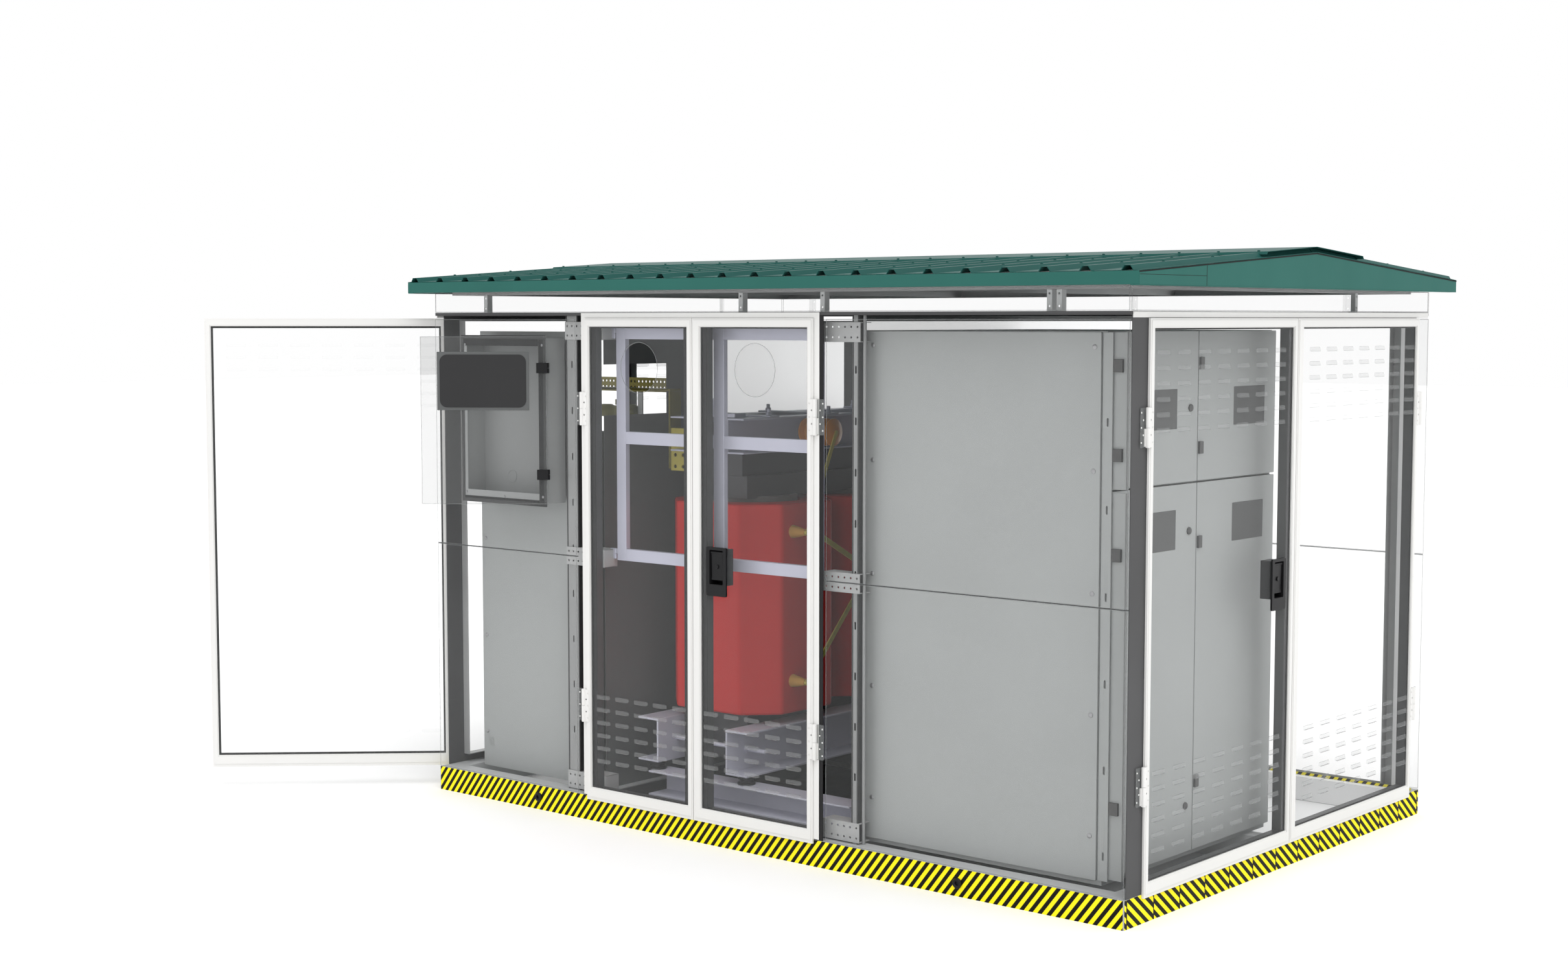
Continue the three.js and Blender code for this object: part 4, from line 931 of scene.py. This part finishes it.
# ---- low-voltage bay
def make_low_voltage():
    dress("low_voltage_partition", panel_dark)
    dress("medium_voltage_partition", panel_dark)
    # The bus shield glows: painted reflection for its mirror brightness.
    dress("bus_shield", steel_painted_glow)
    right = span("medium_voltage_partition", "x")[1]
    y0, y1 = span("medium_voltage_partition", "y")
    top = span("medium_voltage_partition", "z")[1]
    # The head strip glows: painted light, a pale band where the roof's shade falls on the partition.
    head = Shape().box(right + 0.0002, right + 0.002, y0, y1, 2.0, top - 0.001)
    piece("partition_head_strip", head, steel_painted_glow, slot="partition_paint", bevel=0.0005)
    closer = Shape().box(right + 0.0002, right + 0.004, y0, y1, top - 0.0005, RAIL_LIP - 0.0005)
    piece("partition_closing_strip", closer, panel_dark, slot="partition_paint")
    board = Shape(FRONT)
    front = 0.150
    low = POST_LOW
    board.box(-1.670, -0.935, low, 2.074, -front - 0.003, -front)
    board.box(-1.670, -0.935, low, 1.650, -1.803, -1.800)
    side = Shape(LYING)
    side.boxes((-1.003, -1.000, -1.051, 0.601, low + 0.005, 1.640),
               (-1.640, -1.600, -1.050, 0.600, 1.560, 1.600),
               (-1.640, -1.600, -1.050, 0.600, 0.200, 0.240),
               (-1.620, -1.003, -0.304, -0.291, 1.568, 1.592),
               (-1.415, -1.385, -0.302, -0.293, 1.592, 1.790))
    piece("board_side_plates", board, panel_grey, replaces=["low_voltage_board"], bevel=0.002)
    piece("board_rails", side, post_mid, slot="cubicle_paint", bevel=0.0015)
    screws = Shape(FRONT)
    spots = [(a, b) for a in (-1.644, -0.960) for b in (0.264, 0.704, 1.144, 1.62, 2.03)]
    screws.rods(spots, 2, (0.008, 0.008, 0.005), (-front, -front + 0.002, -front + 0.005), 20)
    piece("board_screws", screws, bolt_steel, slot="zinc_steel")

    bar = Shape(wall((0, -0.300, 0)))
    columns = [-1.645 + 0.0235 * i for i in range(32)]
    holes = [circle(a, b, 0.006, 12) for a in columns for b in (1.811, 1.838)]
    bar.sheet(rectangle(-1.660, -0.890, 1.790, 1.856), holes, -0.005, 0.0)
    piece("perforated_busbar", bar, bar_olive, slot="bus_paint")
    clamps = Shape()
    radii = (0.020, 0.030, 0.030, 0.024, 0.024, 0.033, 0.033, 0.022)
    stations = (-1.655, -1.645, -1.590, -1.580, -1.545, -1.535, -1.440, -1.420)
    clamps.rod((-0.300, 1.698), 0, radii, stations, 28)
    clamps.boxes((-1.545, -1.485, -0.320, -0.280, 1.725, 1.752),
                 (-1.530, -1.500, -0.308, -0.292, 1.752, 1.766),
                 (-1.560, -1.520, -0.312, -0.288, 1.592, 1.675))
    piece("bar_clamp", clamps, clamp_olive, slot="bus_paint", bevel=0.002)
    fuses = Shape()
    for i in range(6):
        y = -0.90 + 0.24 * i
        fuses.box(-1.120, -1.003, y, y + 0.10, 0.55, 1.50)
        for k in range(3):
            base = 0.60 + 0.30 * k
            fuses.box(-1.150, -1.120, y + 0.010, y + 0.090, base, base + 0.22)
            fuses.box(-1.164, -1.150, y + 0.030, y + 0.070, base + 0.085, base + 0.135)
    piece("fuse_strips", fuses, fuse_black, slot="latch_black", bevel=0.003)


# ---- transformer
CENTRE_X = sum(span("transformer_core", "x")) / 2
COIL_PITCH = 0.605


def channel(shape, web, side, reach, z0, z1, y0, y1, skin):
    """C-section along Y with its flanges towards side."""
    outline = [(web, z0), (web + side * reach, z0), (web + side * reach, z0 + skin),
               (web + side * skin, z0 + skin), (web + side * skin, z1 - skin),
               (web + side * reach, z1 - skin), (web + side * reach, z1), (web, z1)]
    shape.prism(outline, 1, y0, y1)


def make_transformer():
    piece("core_laminations", laminated_core(), core_dark, replaces=["transformer_core"], bevel=0.0015)
    for i in (-1, 0, 1):
        make_coil(i)
        make_link(i)
    clamp = Shape()
    web = 0.113
    for side in (-1, 1):
        channel(clamp, CENTRE_X + side * web, side, 0.094, 1.569, 1.717, -0.900, 0.900, 0.008)
    for y in (-0.700, -0.302, 0.302, 0.700):
        clamp.box(CENTRE_X - web - 0.094, CENTRE_X + web + 0.094, y - 0.030, y + 0.030, 1.717, 1.724)
        for side in (-1, 1):
            x = CENTRE_X + side * (web + 0.060)
            clamp.rod((x, y), 2, (0.014, 0.014, 0.009, 0.009), (1.724, 1.735, 1.735, 1.752), 6)
    piece("top_clamp", clamp, gate_steel, replaces=["core_top_clamp"], bevel=0.002)
    eye = Shape(wall((CENTRE_X, -0.82, 0)))
    eye.sheet(circle(0.0, 1.765, 0.040, 28), [circle(0.0, 1.765, 0.020, 24)], -0.010, 0.010)
    eye.box(-0.120, 0.120, 1.7171, 1.735, -0.035, 0.035)
    piece("lifting_eye", eye, gate_steel, slot="zinc_steel", bevel=0.003)

    skid = Shape()
    for side in (-1, 1):
        channel(skid, CENTRE_X + side * 0.192, side, 0.117, 0.2435, 0.432, -1.0, 1.0, 0.009)
    for y in (-0.880, 0.880):
        skid.rod((y, 0.335), 0, (0.009, 0.009), (CENTRE_X - 0.310, CENTRE_X + 0.310))
        for side in (-1, 1):
            end = CENTRE_X + side * 0.201
            stations = sorted((end, end + side * 0.014))
            skid.rod((y, 0.335), 0, (0.017, 0.017), stations, 6)
    piece("skid_channels", skid, skid_steel, replaces=["skid_base"], bevel=0.002)

    bar = Shape()
    x = -0.685
    for y in (-COIL_PITCH, 0.0, COIL_PITCH):
        bar.box(x - 0.005, x + 0.005, y - 0.025, y + 0.025, 1.3603, 1.490)
    bar.boxes((x - 0.005, x + 0.005, -0.860, 0.660, 1.490, 1.560),
              (x - 0.005, x + 0.005, -0.860, -0.790, 1.560, 1.820),
              (-1.240, x + 0.005, -0.860, -0.790, 1.820, 1.830),
              (-1.240, -1.230, -0.860, -0.790, 1.690, 1.820))
    piece("neutral_busbar", bar, bar_olive, replaces=["neutral_bar"], bevel=0.0015)
    flag = Shape(wall((0, -0.850, 0)))
    holes = [circle(-0.655 + 0.045 * (k % 2), 1.50 + 0.05 * (k // 2), 0.008, 14) for k in range(6)]
    flag.sheet(rectangle(-0.6795, -0.590, 1.482, 1.664), holes, 0.0, 0.006)
    piece("terminal_flag", flag, brass_yellow, slot="bus_paint", bevel=0.001)


def laminated_core():
    """Three limbs between a lower and an upper yoke, each yoke in a wide and a narrow packet."""
    shape = Shape()
    wide, half = 0.139, 0.112
    for reach, z0, z1 in ((wide, 1.374, 1.470), (half, 1.470, 1.690), (wide, 0.380, 0.460),
                          (half, 0.262, 0.380)):
        shape.box(CENTRE_X - reach, CENTRE_X + reach, -0.800, 0.800, z0, z1)
    for i in (-1, 0, 1):
        y = i * COIL_PITCH
        shape.box(CENTRE_X - half, CENTRE_X + half, y - 0.105, y + 0.105, 0.459, 1.375)
    return shape


def make_coil(i):
    node = f"coil_{i + 2}"
    (x0, x1), (y0, y1), (z0, z1) = (span(node, axis) for axis in "xyz")
    cut = 0.130
    outline = [(x0, y0 + cut), (x0 + cut, y0), (x1 - cut, y0), (x1, y0 + cut),
               (x1, y1 - cut), (x1 - cut, y1), (x0 + cut, y1), (x0, y1 - cut)]
    middle = ((x0 + x1) / 2, (y0 + y1) / 2)
    shape = Shape()
    shape.sheet(outline, [circle(*middle, 0.205, 40)], z0, z1)
    made = piece(f"resin_coil_{i + 2}", shape, resin_red, replaces=[node], bevel=0.012)
    made.modifiers["edge"].segments = 4
    inner = Shape().sheet(circle(*middle, 0.192, 40), [circle(*middle, 0.166, 40)], z0 - 0.022, z1 + 0.022)
    piece(f"low_winding_{i + 2}", inner, winding_grey, slot="core_steel", bevel=0.002)


def strip(shape, x, start, end, width, thick):
    """Flat bar in a plane of constant x between two (y, z) points, with rounded ends."""
    (ya, za), (yb, zb) = start, end
    length = math.hypot(yb - ya, zb - za)
    uy, uz = (yb - ya) / length, (zb - za) / length
    half = width / 2
    local = rounded(-half, length + half, -half, half, half * 0.98, 5)
    outline = [(ya + s * uy - t * uz, za + s * uz + t * uy) for s, t in local]
    shape.prism(outline, 0, x - thick / 2, x + thick / 2)


def make_link(i):
    """Delta link between coils, with cast cones at its terminals and a ribbed post insulator."""
    number = i + 2
    face = span(f"coil_{number}", "x")[1] + 0.0003
    tip = -0.050
    other = 1 if i == -1 else i - 1
    plane = 0.004 if i == -1 else tip
    upper = (i * COIL_PITCH - 0.095, 1.242)
    lower = (other * COIL_PITCH - 0.095, 0.612)
    post = (i * COIL_PITCH + 0.095, 1.652)
    bars = Shape()
    strip(bars, tip, upper, post, 0.018, 0.006)
    strip(bars, plane, upper, lower, 0.022, 0.006)
    for y, z in (upper, lower):
        stations = (tip - 0.008, tip + 0.003, tip + 0.003, plane + 0.009)
        bars.rod((y, z), 0, (0.012, 0.012, 0.009, 0.009), stations)
        bars.rod((y, z), 0, (0.012, 0.012), (plane + 0.003, plane + 0.010), 6)
    piece(f"delta_bars_{number}", bars, brass_yellow, replaces=[f"delta_link_{number}"], bevel=0.0008)
    stations = (face, face + 0.008, face + 0.045, tip - 0.014, tip - 0.008)
    cones = Shape().rods((upper, lower), 0, (0.028, 0.026, 0.019, 0.014, 0.014), stations, 28)
    piece(f"terminal_cones_{number}", cones, cone_brown, slot="bus_paint")
    ribs = Shape()
    start = CENTRE_X + 0.208
    stations, radii = [start], [0.030]
    count = 5
    pitch = (tip - start) / count
    for k in range(count):
        base = start + k * pitch
        for share, radius in ((0.15, 0.034), (0.45, 0.058), (0.62, 0.058), (0.85, 0.034)):
            stations.append(base + share * pitch)
            radii.append(radius)
    stations.append(tip - 0.003)
    radii.append(0.024)
    ribs.rod(post, 0, radii, stations, 36)
    piece(f"post_insulator_{number}", ribs, insulator_orange, slot="bus_paint")


# ---- medium-voltage bay
def make_cubicles():
    dress("cubicle_body", panel_grey)
    y0, y1 = span("cubicle_body", "y")
    top = span("cubicle_body", "z")[1]
    near = wall((0, y0, 0))
    cover = Shape(near)
    low = 0.125
    cover.sheet(rounded(0.566, 1.612, low, top - 0.004, 0.004), [], 0.0002, 0.012)
    piece("cubicle_side_cover", cover, panel_grey, slot="cubicle_paint", bevel=0.003)
    strip_shape = Shape(near)
    slots = [rounded(1.634, 1.642, b, b + 0.030, 0.0039) for b in [0.20 + 0.31 * i for i in range(6)]]
    strip_shape.sheet(rectangle(1.616, 1.657, low, top - 0.004), slots, 0.0002, 0.006)
    piece("cubicle_edge_strip", strip_shape, panel_grey, slot="cubicle_paint", bevel=0.001)
    screws = Shape(near)
    spots = [(a, b) for a in (0.596, 1.585) for b in (0.284, 0.720, 1.155, 1.591, 2.029)]
    screws.rods(spots, 2, (0.009, 0.009, 0.006, 0.004), (0.012, 0.014, 0.016, 0.0165), 20)
    piece("cubicle_side_screws", screws, bolt_steel, slot="zinc_steel")

    doors = wall((span("cubicle_body", "x")[1] + 0.020, 0, 0), math.pi / 2)
    columns = (("near", y0, -0.473, (-0.864, -0.624), True), ("far", -0.473, y1, (-0.203, 0.041), False))
    for column, start, end, (v0, v1), lock in columns:
        rows = (("upper", 1.527, top - 0.002, 1.725, 1.872), ("lower", 0.130, 1.519, 1.280, 1.427))
        for row, z0, z1, w0, w1 in rows:
            name = f"cubicle_{column}_{row}"
            skin = Shape(doors)
            outline = rounded(start + 0.003, end - 0.003, z0, z1, 0.003)
            skin.sheet(outline, [rounded(v0, v1, w0, w1, 0.003)], -0.018, 0.0)
            piece(f"{name}_skin", skin, panel_grey, name, [f"{name}_door"], bevel=0.0012)
            pane = Shape(doors).sheet(rounded(*inset((v0, v1, w0, w1), 0.0005), 0.003), [], -0.015, -0.0005)
            piece(f"{name}_window", pane, window_grey, name, slot="latch_black")
            fittings = Shape(doors)
            heights = (1.650, 1.964) if row == "upper" else (0.391, 1.297)
            for z in heights:
                if lock:
                    fittings.box(start - 0.006, start + 0.010, z - 0.023, z + 0.023, 0.008, 0.046)
                else:
                    fittings.box(start + 0.004, start + 0.030, z - 0.023, z + 0.023, 0.0, 0.010)
            if lock:
                edge = Shape(doors)
                edge.box(start + 0.003, start + 0.006, z0 + 0.002, z1 - 0.002, 0.0002, 0.060)
                edge.box(start + 0.006, start + 0.022, z0 + 0.002, z1 - 0.002, 0.057, 0.060)
                piece(f"{name}_deep_edge", edge, panel_grey, name, slot="cubicle_paint", bevel=0.001)
                locks = [(end - 0.057, z) for z in ((1.800,) if row == "upper" else (1.343, 0.307))]
                fittings.rods(locks, 2, (0.014, 0.014, 0.011, 0.006), (0.0, 0.004, 0.008, 0.010), 28)
            piece(f"{name}_fittings", fittings, hinge_grey, name, slot="latch_black", bevel=0.0015)


for make in (make_base, make_frames, make_roof, make_walls, make_leaves, make_gate, make_meter,
             make_low_voltage, make_transformer, make_cubicles):
    make()

# ---- stage, light and camera
world = bpy.data.worlds.new("studio")
bpy.context.scene.world = world
world.use_nodes = True
world.node_tree.nodes["Background"].inputs["Color"].default_value = (1.0, 1.0, 1.0, 1)
world.node_tree.nodes["Background"].inputs["Strength"].default_value = 1.0

ground = bpy.data.meshes.new("studio_floor")
FLOOR_REACH = 60.0
corners = rectangle(-FLOOR_REACH, FLOOR_REACH, -FLOOR_REACH, FLOOR_REACH)
ground.from_pydata([(x, y, 0) for x, y in corners], [], [(0, 1, 2, 3)])
studio_floor = bpy.data.objects.new("studio_floor", ground)
bpy.context.scene.collection.objects.link(studio_floor)
ground.materials.append(coated("studio_floor", (0.94, 0.94, 0.94), 0.9, tone=0.002, bump=0.0))

sun = bpy.data.lights.new("soft_sun", "SUN")
sun.energy = 1.3
sun.angle = math.radians(45)
sunlight = bpy.data.objects.new("soft_sun", sun)
sunlight.rotation_euler = (math.radians(16), math.radians(24), 0.0)
bpy.context.scene.collection.objects.link(sunlight)

eye = bpy.data.cameras.new("camera")
eye.lens = 50.34
eye.sensor_width = 36.0
camera = bpy.data.objects.new("camera", eye)
camera.location = (5.7534, -7.6877, 2.1240)
camera.rotation_euler = (math.radians(85.567), 0.0, math.radians(40.323))
bpy.context.scene.collection.objects.link(camera)
bpy.context.scene.camera = camera
bpy.context.scene.view_settings.view_transform = "Standard"
bpy.context.scene.cycles.transparent_max_bounces = 48
